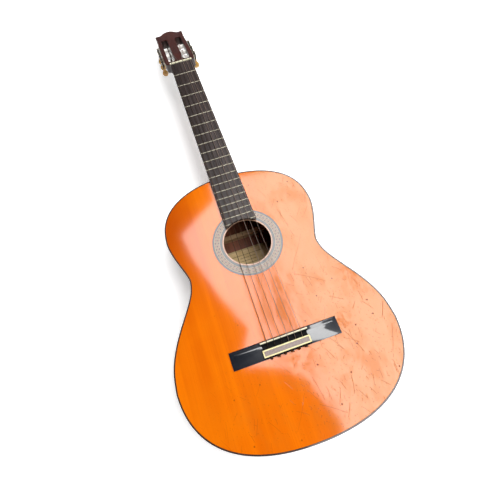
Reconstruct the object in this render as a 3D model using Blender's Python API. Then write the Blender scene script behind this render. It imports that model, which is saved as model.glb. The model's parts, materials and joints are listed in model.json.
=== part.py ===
"""Classical guitar with a slotted head and two three-on-a-side tuning machines, lying on its back.

Metres. +X points to the treble side, +Y from the tail to the head, and +Z out of the soundboard.
The origin is on the outer face of the back, under the middle of the body. Strings, and the tuner
pieces that belong to them, are numbered 1 (highest, treble side) to 6 (lowest, bass side).
"""

import itertools
import math

import bmesh
import bpy
from mathutils import Matrix, Vector

GAP = 0.0003  # clearance between touching pieces
CUT_MARGIN = 0.010  # how far a cutter runs past what it cuts

# Body outline: four Bezier spans on each side, from the tail to the heel of the neck.
TAIL_Y = -0.2394
HEEL_Y = 0.2452
LOWER_BOUT = (0.1881, -0.1061)
WAIST = (0.1205, 0.0575)
UPPER_BOUT = (0.1424, 0.1444)
TAIL_REACH = 0.1647
LOWER_BOUT_REACH = (0.0471, 0.0745)
WAIST_REACH = (0.0404, 0.0186)
UPPER_BOUT_REACH = (0.0335, 0.0811)
HEEL_REACH = 0.0580
SPAN_STEPS = (15, 7, 6, 9)

BODY_DEPTH = 0.096
PLATE_THICK = 0.0028
RIB_THICK = 0.0023
BINDING_HEIGHT = 0.006
LINING_DEPTH = 0.014
LINING_INNER_INSET = 0.009
TOP_Z = BODY_DEPTH
INNER_INSET = RIB_THICK + GAP
TOP_UNDERSIDE = TOP_Z - PLATE_THICK - GAP
BACK_INSIDE = PLATE_THICK + GAP

SCALE = 0.650
NUT_Y = 0.570
FRET_COUNT = 19
BOARD_WIDTH_NUT = 0.0517
BOARD_WIDTH_BODY = 0.0580
BOARD_THICK = 0.0062
BOARD_END_Y = 0.1335
BOARD_BOTTOM = TOP_Z + GAP
BOARD_TOP = BOARD_BOTTOM + BOARD_THICK
FRET_BASE = 0.0024
FRET_CROWN = 0.0014
FRET_HEIGHT = 0.0010
NUT_THICK = 0.005
NUT_TOP = BOARD_TOP + 0.0015
NUT_CROWN = 0.0010
NUT_BACK_DROP = 0.0026

HOLE_Y = 0.0970
HOLE_RADIUS = 0.0435
HOLE_STEPS = 40
ROSETTE_INNER = 0.0460
ROSETTE_OUTER = 0.0644
ROSETTE_THICK = 0.0009

NECK_DEPTH_NUT = 0.0150
NECK_DEPTH_BODY = 0.0180
HEEL_CAP_LENGTH = 0.020
HEEL_CURVE_LENGTH = 0.055
HEEL_FLOOR = 0.0010
HEEL_OVERLAP = 0.006  # how far the heel's section would reach below the back
HEEL_STATIONS = (0.02, 0.08, 0.18, 0.33, 0.55, 0.78, 1.0)
HEEL_NARROWING = 0.45
NECK_ROUNDNESS = 0.8  # 1 is a half ellipse, and less is squarer
NECK_SIDES = 12

# Inside the body: blocks, bars and braces by their place along it, and the label on the back.
BLOCK_HALF = 0.035
TAIL_BLOCK_THICK = 0.015
NECK_BLOCK_THICK = 0.030
HARMONIC_BARS = (("upper", 0.178), ("lower", 0.034))
HARMONIC_BAR_THICK = 0.008
HARMONIC_BAR_HEIGHT = 0.018
BACK_BRACES_Y = (0.147, 0.030, -0.110)
BACK_BRACE_THICK = 0.009
BACK_BRACE_HEIGHT = 0.015
BAR_END_GAP = 0.0015
BAR_FULL_SHARE = 0.8  # the middle share of a bar that keeps its full height
FAN_BRACE_ENDS_X = ((-0.030, -0.085), (0.0, 0.0), (0.030, 0.085))
FAN_BRACE_NEAR_Y = 0.022
FAN_BRACE_FULL_Y = 0.005
FAN_BRACE_FAR_Y = -0.190
FAN_BRACE_HALF = 0.003
FAN_BRACE_HEIGHT = 0.005
FAN_BRACE_TIP_HEIGHT = 0.002
FAN_BRACE_LEAN = 1.3
LABEL_LOW = (-0.050, 0.0445)
LABEL_HIGH = (0.050, 0.1195)
LABEL_THICK = 0.0003

# The bridge, from its front edge (towards the hole) to its back edge.
BRIDGE_LENGTH = 0.185
BRIDGE_CENTRE_HALF = 0.0405
BRIDGE_FRONT_Y = -0.0773
BRIDGE_BACK_Y = -0.1060
BRIDGE_Z = TOP_Z + GAP
RIDGE_BACK_Y = -0.0835
RIDGE_HEIGHT = 0.0082
CHANNEL_HEIGHT = 0.0035
TIE_FRONT_Y = -0.0912
TIE_BACK_Y = -0.1034
TIE_HEIGHT = 0.0080
TIE_HOLE_Z = BRIDGE_Z + 0.0052
TIE_HOLE_RADIUS = 0.0012
WING_HEIGHT = 0.0056
WING_TIP_HEIGHT = 0.0030
WING_TIP_LENGTH = 0.008
WING_OVERLAP = 0.002  # how far a wing runs into the middle block that it joins
WING_RIDGE_BACK = 0.009
SADDLE_Y = -0.0805
SADDLE_THICK = 0.0026
SADDLE_LENGTH = 0.0803
SADDLE_SLOT_DEPTH = 0.0052
SADDLE_TOP = TOP_Z + 0.0122
INLAY_THICK = 0.0010
INLAY_INSET = 0.0002
STRING_END_INSET = 0.0012

STRING_RADII = (0.00036, 0.00041, 0.00051, 0.00038, 0.00045, 0.00055)
STRING_SPREAD_NUT = 0.0430
STRING_SPREAD_SADDLE = 0.0582
STRING_BEND_REACH = 0.0012
ROUNDING_DIP = 0.0002  # how far a rounded bend passes below its corner

# Head: its own frame has +Y along the head and +Z out of its face.
HEAD_TILT = math.radians(15)
HEAD_Y = NUT_Y + 0.006
HEAD_Z = TOP_Z + 0.002
HEAD_THICK = 0.020
VENEER_THICK = 0.002
HEAD_HALF = 0.0350
HEAD_TOP_HALF = 0.0362
HEAD_CORNER_Y = 0.1735
HEAD_CREST_Y = 0.1920
SLOT_CENTRE_X = 0.0178
SLOT_WIDTH = 0.016
SLOT_START = 0.0140
SLOT_END = 0.1435
HEAD_SHOULDER = (0.0262, 0.008, 0.004, 0.014)  # nut half width, two reaches along the head, its end
HEAD_FLARE_Y = 0.135
HEAD_CREST_EDGE = (0.0335, 0.1762)

# Tuning machines: roller axes run across the head, worm axes run through its thickness.
ROLLER_PLACES = (0.037, 0.071, 0.105)  # along the head, from the nut
STRING_LANDINGS = (0.0200, 0.0175, 0.0170)  # where each of those rollers takes its string, off the middle
ROLLER_DEPTH = 0.010
ROLLER_RADIUS = 0.005
ROLLER_BORE = 0.0053
ROLLER_INNER_X = 0.0055
JOURNAL_RADIUS = 0.0025
SCREW_RADIUS = 0.0034
PLATE_INNER_X = HEAD_HALF + GAP
SIDE_PLATE_THICK = 0.0010
SIDE_PLATE_HEIGHT = 0.014
SIDE_PLATE_SPAN = (0.018, 0.133)
SIDE_PLATE_CORNER = 0.004
GEAR_TEETH = 14
GEAR_PITCH_RADIUS = 0.0063
GEAR_TIP = 0.0071
GEAR_ROOT = 0.0053
GEAR_WIDTH = 0.0036
WORM_PITCH_RADIUS = 0.0029
WORM_TIP = 0.0037
WORM_ROOT = 0.0018
WORM_X = 0.0404
WORM_TURNS = 2.2
WORM_STEPS = 10
WORM_SHAFT = 0.0015
TOOTH_PITCH = math.tau * GEAR_PITCH_RADIUS / GEAR_TEETH
WORM_OFFSET = GEAR_PITCH_RADIUS + WORM_PITCH_RADIUS
THREAD_HALF_ROOT = 0.0010
THREAD_HALF_CREST = 0.00025
WORM_HALF = WORM_TURNS * TOOTH_PITCH / 2 + THREAD_HALF_ROOT + 0.0001
EAR_THICK = 0.0013
EAR_HALF = 0.0026
EAR_END_X = 0.0434
BUTTON_TOP = -0.0235
BUTTON_LENGTH = 0.0190
BUTTON_HALF_WIDTH = 0.0074
BUTTON_HALF_THICK = 0.0042
BUTTON_HOLE_DEPTH = 0.010
# Each section's place along the button, and its width and thickness, as shares of the button's own.
BUTTON_SECTIONS = ((0.0, 0.48, 0.78), (0.18, 0.42, 0.66), (0.42, 0.86, 0.85))
BUTTON_SECTIONS += ((0.68, 1.0, 1.0), (0.88, 0.84, 0.80), (1.0, 0.46, 0.42))

COLOURS = {
    "spruce_orange": ((0.85, 0.30, 0.03), 0.22, 0.0),
    "mahogany": ((0.22, 0.08, 0.035), 0.35, 0.0),
    "spruce_raw": ((0.72, 0.52, 0.32), 0.6, 0.0),
    "rosewood": ((0.10, 0.075, 0.065), 0.45, 0.0),
    "dark_veneer": ((0.085, 0.025, 0.02), 0.3, 0.0),
    "binding": ((0.06, 0.025, 0.015), 0.3, 0.0),
    "ebonised": ((0.012, 0.012, 0.014), 0.25, 0.0),
    "bone": ((0.83, 0.79, 0.66), 0.35, 0.0),
    "mosaic": ((0.62, 0.54, 0.47), 0.4, 0.0),
    "label_paper": ((0.80, 0.68, 0.45), 0.8, 0.0),
    "plated_steel": ((0.50, 0.42, 0.33), 0.3, 1.0),
    "dark_steel": ((0.10, 0.10, 0.10), 0.35, 1.0),
    "white_plastic": ((0.85, 0.83, 0.78), 0.3, 0.0),
    "amber_plastic": ((0.62, 0.42, 0.16), 0.25, 0.0),
    "wound_string": ((0.30, 0.20, 0.13), 0.35, 1.0),
    "nylon": ((0.75, 0.66, 0.55), 0.2, 0.0),
}


# ---------------------------------------------------------------- helpers


def material(name):
    found = bpy.data.materials.get(name)
    if found:
        return found
    colour, roughness, metallic = COLOURS[name]
    made = bpy.data.materials.new(name)
    made.use_nodes = True
    shader = made.node_tree.nodes["Principled BSDF"]
    shader.inputs["Base Color"].default_value = (*colour, 1.0)
    shader.inputs["Roughness"].default_value = roughness
    shader.inputs["Metallic"].default_value = metallic
    return made


def link(obj, parent=None):
    bpy.context.scene.collection.objects.link(obj)
    if parent:
        obj.parent = parent
    return obj


def mesh_object(name, shapes, look=None, parent=None):
    """One object from a list of closed (points, faces) shapes, with its faces turned outwards."""
    mesh = bpy.data.meshes.new(name)
    points = []
    faces = []
    for shape_points, shape_faces in shapes:
        start = len(points)
        points += [tuple(p) for p in shape_points]
        faces += [[start + i for i in face] for face in shape_faces]
    mesh.from_pydata(points, [], faces)
    whole = bmesh.new()
    whole.from_mesh(mesh)
    bmesh.ops.recalc_face_normals(whole, faces=whole.faces)
    whole.to_mesh(mesh)
    whole.free()
    if look:
        mesh.materials.append(material(look))
    return link(bpy.data.objects.new(name, mesh), parent)


def smooth(obj, angle=30):
    obj.data.shade_smooth()
    obj.data.set_sharp_from_angle(angle=math.radians(angle))
    return obj


def combine(obj, other, operation):
    """Joins or cuts obj with a helper object, which stays out of renders."""
    other.hide_render = True
    other.display_type = "WIRE"
    modifier = obj.modifiers.new(operation.lower(), "BOOLEAN")
    modifier.operation = operation
    modifier.object = other
    return obj


def box(low, high):
    points = [(x, y, z) for x in (low[0], high[0]) for y in (low[1], high[1]) for z in (low[2], high[2])]
    faces = [(0, 1, 3, 2), (4, 6, 7, 5), (0, 4, 5, 1), (2, 3, 7, 6), (0, 2, 6, 4), (1, 5, 7, 3)]
    return points, faces


def loft(rings):
    """A closed shape through rings of equal length, capped at both ends."""
    count = len(rings[0])
    points = [p for ring in rings for p in ring]
    faces = [list(range(count)), [(len(rings) - 1) * count + i for i in range(count)]]
    for r in range(len(rings) - 1):
        for i in range(count):
            j = (i + 1) % count
            faces.append((r * count + i, r * count + j, (r + 1) * count + j, (r + 1) * count + i))
    return points, faces


def closed_loft(rings):
    """A closed shape through rings that run on from the last one to the first."""
    points, faces = loft(rings + rings[:1])
    count = len(rings[0])
    total = len(rings) * count
    return points[:total], [[i % total for i in face] for face in faces[2:]]


def prism(loop, low, high):
    return loft([[(x, y, low) for x, y in loop], [(x, y, high) for x, y in loop]])


def band(outer, inner, low, high):
    """A flat ring between two loops of equal length."""
    loops = ((outer, low), (outer, high), (inner, high), (inner, low))
    return closed_loft([[(x, y, z) for x, y in loop] for loop, z in loops])


def circle(radius, steps, centre=(0.0, 0.0)):
    turns = (math.tau * i / steps for i in range(steps))
    return [(centre[0] + radius * math.cos(t), centre[1] + radius * math.sin(t)) for t in turns]


def rod(start, end, radius, steps=12):
    """A cylinder between two points."""
    start = Vector(start)
    along = Vector(end) - start
    turn = along.to_track_quat("Z", "Y").to_matrix()
    ring = [turn @ Vector((x, y, 0.0)) for x, y in circle(radius, steps)]
    return loft([[start + p for p in ring], [start + along + p for p in ring]])


def turned(profile, steps, axis="X"):
    """A solid turned about an axis, from (place, radius) pairs along it."""
    rings = []
    for place, radius in profile:
        ring = circle(radius, steps)
        rings.append([(place, y, z) if axis == "X" else (y, z, place) for y, z in ring])
    return loft(rings)


def bezier(a, b, c, d, steps):
    """Points and directions along a cubic span, without its last point."""
    a, b, c, d = (Vector(p) for p in (a, b, c, d))
    found = []
    for i in range(steps):
        t = i / steps
        s = 1 - t
        place = a * s**3 + b * (3 * s * s * t) + c * (3 * s * t * t) + d * t**3
        along = (b - a) * (s * s) + (c - b) * (2 * s * t) + (d - c) * (t * t)
        found.append((place, along.normalized()))
    return found


# ---------------------------------------------------------------- body outline


def half_outline(inset):
    """The treble side's outline from tail to heel, moved inwards by inset."""
    up = Vector((0, 1))
    lower, waist, upper = Vector(LOWER_BOUT), Vector(WAIST), Vector(UPPER_BOUT)
    tail = Vector((0, TAIL_Y))
    heel = Vector((0, HEEL_Y))
    spans = (
        (tail, tail + Vector((TAIL_REACH, 0)), lower - up * LOWER_BOUT_REACH[0], lower),
        (lower, lower + up * LOWER_BOUT_REACH[1], waist - up * WAIST_REACH[0], waist),
        (waist, waist + up * WAIST_REACH[1], upper - up * UPPER_BOUT_REACH[0], upper),
        (upper, upper + up * UPPER_BOUT_REACH[1], heel + Vector((HEEL_REACH, 0)), heel),
    )
    found = []
    for span, steps in zip(spans, SPAN_STEPS):
        found += bezier(*span, steps)
    found.append((heel, Vector((-1, 0))))
    return [(p.x - d.y * inset, p.y + d.x * inset) for p, d in found]


def outline(inset):
    """The closed outline, anticlockwise from the tail."""
    treble = half_outline(inset)
    return treble + [(-x, y) for x, y in reversed(treble[1:-1])]


def half_width(y, inset):
    """Half the body's inner width where it crosses y."""
    points = half_outline(inset)
    for (x0, y0), (x1, y1) in zip(points, points[1:]):
        if min(y0, y1) <= y <= max(y0, y1):
            return x0 + (x1 - x0) * (y - y0) / (y1 - y0)
    raise ValueError("no outline at this y")


# ---------------------------------------------------------------- body


def around_hole(radius):
    return circle(radius, HOLE_STEPS, (0.0, HOLE_Y))


def make_plates():
    plate = prism(outline(INNER_INSET), TOP_Z - PLATE_THICK, TOP_Z)
    top = mesh_object("soundboard", [plate], "spruce_orange")
    above = TOP_Z + CUT_MARGIN
    hole = prism(around_hole(HOLE_RADIUS), TOP_Z - CUT_MARGIN, above)
    combine(top, mesh_object("soundhole_cutter", [hole]), "DIFFERENCE")
    inlay_floor = TOP_Z - ROSETTE_THICK
    groove = band(around_hole(ROSETTE_OUTER + GAP), around_hole(ROSETTE_INNER - GAP), inlay_floor - GAP, above)
    combine(top, mesh_object("rosette_cutter", [groove]), "DIFFERENCE")
    ring = band(around_hole(ROSETTE_OUTER), around_hole(ROSETTE_INNER), inlay_floor, TOP_Z)
    mesh_object("rosette", [ring], "mosaic")
    mesh_object("back_plate", [prism(outline(INNER_INSET), 0.0, PLATE_THICK)], "mahogany")


def make_rib(name, side):
    outer = half_outline(0.0)
    inner = half_outline(RIB_THICK)
    loop = [(side * max(x, GAP / 2), y) for x, y in outer + inner[::-1]]
    low = BINDING_HEIGHT + GAP
    high = TOP_Z - BINDING_HEIGHT - GAP
    smooth(mesh_object(name, [prism(loop, low, high)], "mahogany"))


def make_edges():
    for name, low in (("top_binding", TOP_Z - BINDING_HEIGHT), ("back_binding", 0.0)):
        ring = band(outline(0.0), outline(RIB_THICK), low, low + BINDING_HEIGHT)
        smooth(mesh_object(name, [ring], "binding"))
    for name, low in (("top_lining", TOP_UNDERSIDE - LINING_DEPTH), ("back_lining", BACK_INSIDE)):
        ring = band(outline(INNER_INSET), outline(LINING_INNER_INSET), low, low + LINING_DEPTH)
        mesh_object(name, [ring], "spruce_raw")


def make_block(name, from_tail, thick):
    """A block inside the rib at the tail or at the heel, between the two linings."""
    half = BLOCK_HALF
    points = half_outline(INNER_INSET + GAP)
    if not from_tail:
        points = points[::-1]
    curve = list(itertools.takewhile(lambda p: p[0] < half, points))
    (x0, y0), (x1, y1) = curve[-1], points[len(curve)]
    curve.append((half, y0 + (y1 - y0) * (half - x0) / (x1 - x0)))
    flat_y = points[0][1] + (thick if from_tail else -thick)
    treble = curve + [(half, flat_y)]
    loop = treble + [(-x, y) for x, y in reversed(treble) if x > GAP]
    low = BACK_INSIDE + LINING_DEPTH + GAP
    high = TOP_UNDERSIDE - LINING_DEPTH - GAP
    mesh_object(name, [prism(loop, low, high)], "mahogany")


def make_cross_bar(name, y, thick, low, high):
    """A bar across the body, from lining to lining, with its ends thinned to half their height."""
    near = y - thick / 2
    far = y + thick / 2
    reach = min(half_width(near, LINING_INNER_INSET), half_width(far, LINING_INNER_INSET)) - BAR_END_GAP
    middle = (low + high) / 2
    on_back = low < BODY_DEPTH / 2
    rings = []
    for share, thinned in ((-1, True), (-BAR_FULL_SHARE, False), (BAR_FULL_SHARE, False), (1, True)):
        end_low = low if on_back or not thinned else middle
        end_high = high if not on_back or not thinned else middle
        ring = ((near, end_low), (far, end_low), (far, end_high), (near, end_high))
        rings.append([(share * reach, a, b) for a, b in ring])
    mesh_object(name, [loft(rings)], "spruce_raw")


def make_braces():
    bar_low = TOP_UNDERSIDE - HARMONIC_BAR_HEIGHT
    for place, y in HARMONIC_BARS:
        make_cross_bar(f"harmonic_bar_{place}", y, HARMONIC_BAR_THICK, bar_low, TOP_UNDERSIDE)
    brace_high = BACK_INSIDE + BACK_BRACE_HEIGHT
    for number, y in enumerate(BACK_BRACES_Y, 1):
        make_cross_bar(f"back_brace_{number}", y, BACK_BRACE_THICK, BACK_INSIDE, brace_high)
    half = FAN_BRACE_HALF
    for number, (near_x, far_x) in enumerate(FAN_BRACE_ENDS_X, 1):
        stations = [(near_x, FAN_BRACE_NEAR_Y, FAN_BRACE_TIP_HEIGHT)]
        stations.append((near_x * FAN_BRACE_LEAN, FAN_BRACE_FULL_Y, FAN_BRACE_HEIGHT))
        stations.append((far_x, FAN_BRACE_FAR_Y, FAN_BRACE_HEIGHT))
        rings = []
        for x, y, height in stations:
            ring = ((-half, -height), (half, -height), (half, 0.0), (-half, 0.0))
            rings.append([(x + a, y, TOP_UNDERSIDE + b) for a, b in ring])
        mesh_object(f"fan_brace_{number}", [loft(rings)], "spruce_raw")
    label = box((*LABEL_LOW, BACK_INSIDE), (*LABEL_HIGH, BACK_INSIDE + LABEL_THICK))
    mesh_object("label", [label], "label_paper")


# ---------------------------------------------------------------- neck


def board_half(y):
    """Half the fingerboard's width at y."""
    share = (NUT_Y - y) / (SCALE / 2)
    return (BOARD_WIDTH_NUT + (BOARD_WIDTH_BODY - BOARD_WIDTH_NUT) * share) / 2


def fret_y(number):
    return NUT_Y - SCALE * (1 - 2 ** (-number / 12))


def neck_ring(y, depth, heel, lean=0.0):
    """One section across the neck: flat on top and rounded below. heel, from 0 to 1, narrows it downwards."""
    ring = []
    for i in range(NECK_SIDES + 1):
        turn = math.pi * i / NECK_SIDES
        x = board_half(y) * math.cos(turn) * (1 - HEEL_NARROWING * heel * math.sin(turn) ** 2)
        z = max(TOP_Z - depth * math.sin(turn) ** NECK_ROUNDNESS, HEEL_FLOOR)
        ring.append((x, y - lean * (TOP_Z - z), z))
    return ring


def make_neck():
    body_y = HEEL_Y + GAP
    full = BODY_DEPTH + HEEL_OVERLAP
    cap_end = body_y + HEEL_CAP_LENGTH
    rings = [neck_ring(body_y, full, 1.0), neck_ring(cap_end, full, 1.0)]
    for share in HEEL_STATIONS:
        deep = 1 - math.sqrt(1 - (1 - share) ** 2)
        depth = NECK_DEPTH_BODY + (full - NECK_DEPTH_BODY) * deep
        rings.append(neck_ring(cap_end + HEEL_CURVE_LENGTH * share, depth, deep))
    end_y = NUT_Y + NUT_THICK + 0.0001
    rings.append(neck_ring(end_y, NECK_DEPTH_NUT, 0.0, math.tan(HEAD_TILT)))
    smooth(mesh_object("neck", [loft(rings)], "mahogany"))


def make_fingerboard():
    """The board with its frets: a side profile that is widened towards the body."""
    profile = [(BOARD_END_Y, BOARD_BOTTOM), (BOARD_END_Y, BOARD_TOP)]
    for number in range(FRET_COUNT, 0, -1):
        y = fret_y(number)
        crown = BOARD_TOP + FRET_HEIGHT
        profile += [(y - FRET_BASE / 2, BOARD_TOP), (y - FRET_CROWN / 2, crown)]
        profile += [(y + FRET_CROWN / 2, crown), (y + FRET_BASE / 2, BOARD_TOP)]
    profile += [(NUT_Y - GAP, BOARD_TOP), (NUT_Y - GAP, BOARD_BOTTOM)]
    sides = [[(side * board_half(y), y, z) for y, z in profile] for side in (-1, 1)]
    board = mesh_object("fingerboard", [loft(sides)], "rosewood")
    arc = circle(HOLE_RADIUS + GAP, 64, (0.0, HOLE_Y))
    cutter = mesh_object("board_end_cutter", [prism(arc, TOP_Z - CUT_MARGIN, BOARD_TOP + CUT_MARGIN)])
    combine(board, cutter, "DIFFERENCE")


def make_nut():
    """The nut's side profile: a narrow flat crown in front of a slope down towards the head."""
    back_y = NUT_Y + NUT_THICK
    profile = [(NUT_Y, BOARD_BOTTOM), (NUT_Y, NUT_TOP), (NUT_Y + NUT_CROWN, NUT_TOP)]
    profile += [(back_y, NUT_TOP - NUT_BACK_DROP), (back_y, BOARD_BOTTOM)]
    half = BOARD_WIDTH_NUT / 2
    mesh_object("nut", [loft([[(x, y, z) for y, z in profile] for x in (-half, half)])], "bone")


# ---------------------------------------------------------------- bridge


def bridge_ring(x, heights):
    """One section of the bridge at x, from its front edge over the top to its back edge."""
    places = (BRIDGE_FRONT_Y, BRIDGE_FRONT_Y, RIDGE_BACK_Y, RIDGE_BACK_Y, TIE_FRONT_Y, TIE_FRONT_Y)
    places += (TIE_BACK_Y, TIE_BACK_Y, BRIDGE_BACK_Y, BRIDGE_BACK_Y)
    return [(x, y, BRIDGE_Z + h) for y, h in zip(places, heights)]


def make_bridge():
    low = CHANNEL_HEIGHT
    tall = RIDGE_HEIGHT
    tie = TIE_HEIGHT
    centre = (0.0, tall, tall, low, low, tie, tie, low, low, 0.0)
    half = BRIDGE_LENGTH / 2
    middle = BRIDGE_CENTRE_HALF
    body = loft([bridge_ring(x, centre) for x in (-middle, middle)])
    bridge = mesh_object("bridge", [body], "ebonised")
    for side, name in ((-1, "bass"), (1, "treble")):
        rings = []
        stations = [(middle - WING_OVERLAP, WING_HEIGHT), (half - WING_TIP_LENGTH, WING_HEIGHT)]
        stations.append((half, WING_TIP_HEIGHT))
        for x, height in stations:
            ridge = BRIDGE_FRONT_Y - WING_RIDGE_BACK
            edge = height * 0.45
            ring = ((BRIDGE_FRONT_Y, 0.0), (BRIDGE_FRONT_Y, edge), (ridge + 0.003, height * 0.95))
            ring += ((ridge, height), (BRIDGE_BACK_Y, edge * 0.8), (BRIDGE_BACK_Y, 0.0))
            rings.append([(side * x, y, BRIDGE_Z + z) for y, z in ring])
        wing = mesh_object(f"bridge_wing_{name}", [loft(rings)])
        combine(bridge, wing, "UNION")
    slot_half = SADDLE_LENGTH / 2 + GAP
    slot_floor = BRIDGE_Z + RIDGE_HEIGHT - SADDLE_SLOT_DEPTH
    slot_low = (-slot_half, SADDLE_Y - SADDLE_THICK / 2 - GAP, slot_floor)
    slot_high = (slot_half, SADDLE_Y + SADDLE_THICK / 2 + GAP, SADDLE_TOP)
    combine(bridge, mesh_object("saddle_slot_cutter", [box(slot_low, slot_high)]), "DIFFERENCE")
    holes = []
    for number in range(1, 7):
        x = string_x(number, STRING_SPREAD_SADDLE)
        front = (x, TIE_FRONT_Y + 0.001, TIE_HOLE_Z)
        holes.append(rod(front, (x, TIE_BACK_Y - 0.001, TIE_HOLE_Z), TIE_HOLE_RADIUS, 8))
    combine(bridge, mesh_object("tie_hole_cutter", holes), "DIFFERENCE")

    reach = SADDLE_LENGTH / 2
    profile = [(-0.5, 0.0), (-0.5, 0.9), (-0.25, 1.0), (0.25, 1.0), (0.5, 0.9), (0.5, 0.0)]
    low_z = slot_floor + GAP
    section = [(SADDLE_Y + a * SADDLE_THICK, low_z + b * (SADDLE_TOP - low_z)) for a, b in profile]
    mesh_object("saddle", [loft([[(x, y, z) for y, z in section] for x in (-reach, reach)])], "bone")
    inlay_z = BRIDGE_Z + TIE_HEIGHT + GAP
    inlay_low = (-reach, TIE_BACK_Y + INLAY_INSET, inlay_z)
    inlay_high = (reach, TIE_FRONT_Y - INLAY_INSET, inlay_z + INLAY_THICK)
    mesh_object("tie_block_inlay", [box(inlay_low, inlay_high)], "bone")


# ---------------------------------------------------------------- strings


def string_x(number, spread):
    return spread / 2 - spread * (number - 1) / 5


def tuner_of(number):
    """The side of the head that a string's tuner is on, and its row counted from the nut."""
    return (1, number - 1) if number <= 3 else (-1, 6 - number)


def rounded_route(corners, reach):
    """A line through the corners, each inner one rounded off over reach on both sides."""
    route = [corners[0]]
    for before, corner, after in zip(corners, corners[1:], corners[2:]):
        start = corner + (before - corner).normalized() * reach
        end = corner + (after - corner).normalized() * reach
        for i in range(3):
            t = i / 2
            route.append(start * (1 - t) ** 2 + corner * (2 * t * (1 - t)) + end * t**2)
    return route + [corners[-1]]


def make_string(number, head):
    radius = STRING_RADII[number - 1]
    saddle_x = string_x(number, STRING_SPREAD_SADDLE)
    nut_x = string_x(number, STRING_SPREAD_NUT)
    side, row = tuner_of(number)
    over = GAP + radius
    over_bend = over + ROUNDING_DIP
    landing = (side * STRING_LANDINGS[row], ROLLER_PLACES[row], -ROLLER_DEPTH + ROLLER_RADIUS + over)
    corners = [
        Vector((saddle_x, TIE_BACK_Y - STRING_END_INSET, TIE_HOLE_Z)),
        Vector((saddle_x, TIE_FRONT_Y + 0.0003, TIE_HOLE_Z)),
        Vector((saddle_x, SADDLE_Y, SADDLE_TOP + over_bend)),
        Vector((nut_x, NUT_Y + STRING_END_INSET, NUT_TOP + over_bend)),
        head @ Vector(landing),
    ]
    curve = bpy.data.curves.new(f"string_{number}", "CURVE")
    curve.dimensions = "3D"
    curve.bevel_depth = radius
    curve.bevel_resolution = 2
    curve.use_fill_caps = True
    route = rounded_route(corners, STRING_BEND_REACH)
    spline = curve.splines.new("POLY")
    spline.points.add(len(route) - 1)
    for point, place_on_route in zip(spline.points, route):
        point.co = (*place_on_route, 1.0)
    curve.materials.append(material("nylon" if number <= 3 else "wound_string"))
    link(bpy.data.objects.new(f"string_{number}", curve))


# ---------------------------------------------------------------- head


def head_outline():
    """The head's outline in its own frame, anticlockwise from the nut's treble corner."""
    nut_half, first_reach, second_reach, end_y = HEAD_SHOULDER
    shoulder = bezier((nut_half, 0.0), (nut_half, first_reach), (HEAD_HALF, second_reach), (HEAD_HALF, end_y), 6)
    flank = [(Vector((HEAD_HALF, end_y)), None)]
    corner_start = (HEAD_TOP_HALF, HEAD_CORNER_Y - 0.002)
    flank += bezier((HEAD_HALF, HEAD_FLARE_Y), (HEAD_HALF, 0.155), (HEAD_TOP_HALF, 0.160), corner_start, 4)
    corner = bezier(corner_start, (HEAD_TOP_HALF, HEAD_CORNER_Y + 0.0015), (0.0355, 0.1757), HEAD_CREST_EDGE, 3)
    crest = bezier(HEAD_CREST_EDGE, (0.024, 0.180), (0.020, HEAD_CREST_Y), (0.0, HEAD_CREST_Y), 8)
    treble = [tuple(p) for p, _ in shoulder + flank + corner + crest]
    return treble + [(0.0, HEAD_CREST_Y)] + [(-x, y) for x, y in reversed(treble)]


def slot_loop(side):
    """A slot with round ends."""
    radius = SLOT_WIDTH / 2
    loop = []
    for centre_y, start in ((SLOT_START + radius, math.pi), (SLOT_END - radius, 0.0)):
        for i in range(7):
            turn = start + math.pi * i / 6
            loop.append((side * SLOT_CENTRE_X + radius * math.cos(turn), centre_y + radius * math.sin(turn)))
    return loop


def make_head(head):
    wood = [prism(head_outline(), -HEAD_THICK, -VENEER_THICK - GAP)]
    stock = mesh_object("headstock", wood, "mahogany", head)
    veneer = mesh_object("head_veneer", [prism(head_outline(), -VENEER_THICK, 0.0)], "dark_veneer", head)
    slots = [prism(slot_loop(side), -HEAD_THICK - CUT_MARGIN, CUT_MARGIN) for side in (-1, 1)]
    slot_cutter = mesh_object("slot_cutter", slots, None, head)
    combine(stock, slot_cutter, "DIFFERENCE")
    combine(veneer, slot_cutter, "DIFFERENCE")
    bores = []
    for side in (-1, 1):
        for place in ROLLER_PLACES:
            start = (side * (ROLLER_INNER_X - GAP), place, -ROLLER_DEPTH)
            bores.append(rod(start, (side * (HEAD_HALF + CUT_MARGIN), place, -ROLLER_DEPTH), ROLLER_BORE))
    combine(stock, mesh_object("roller_bore_cutter", bores, None, head), "DIFFERENCE")


# ---------------------------------------------------------------- tuning machines


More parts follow.
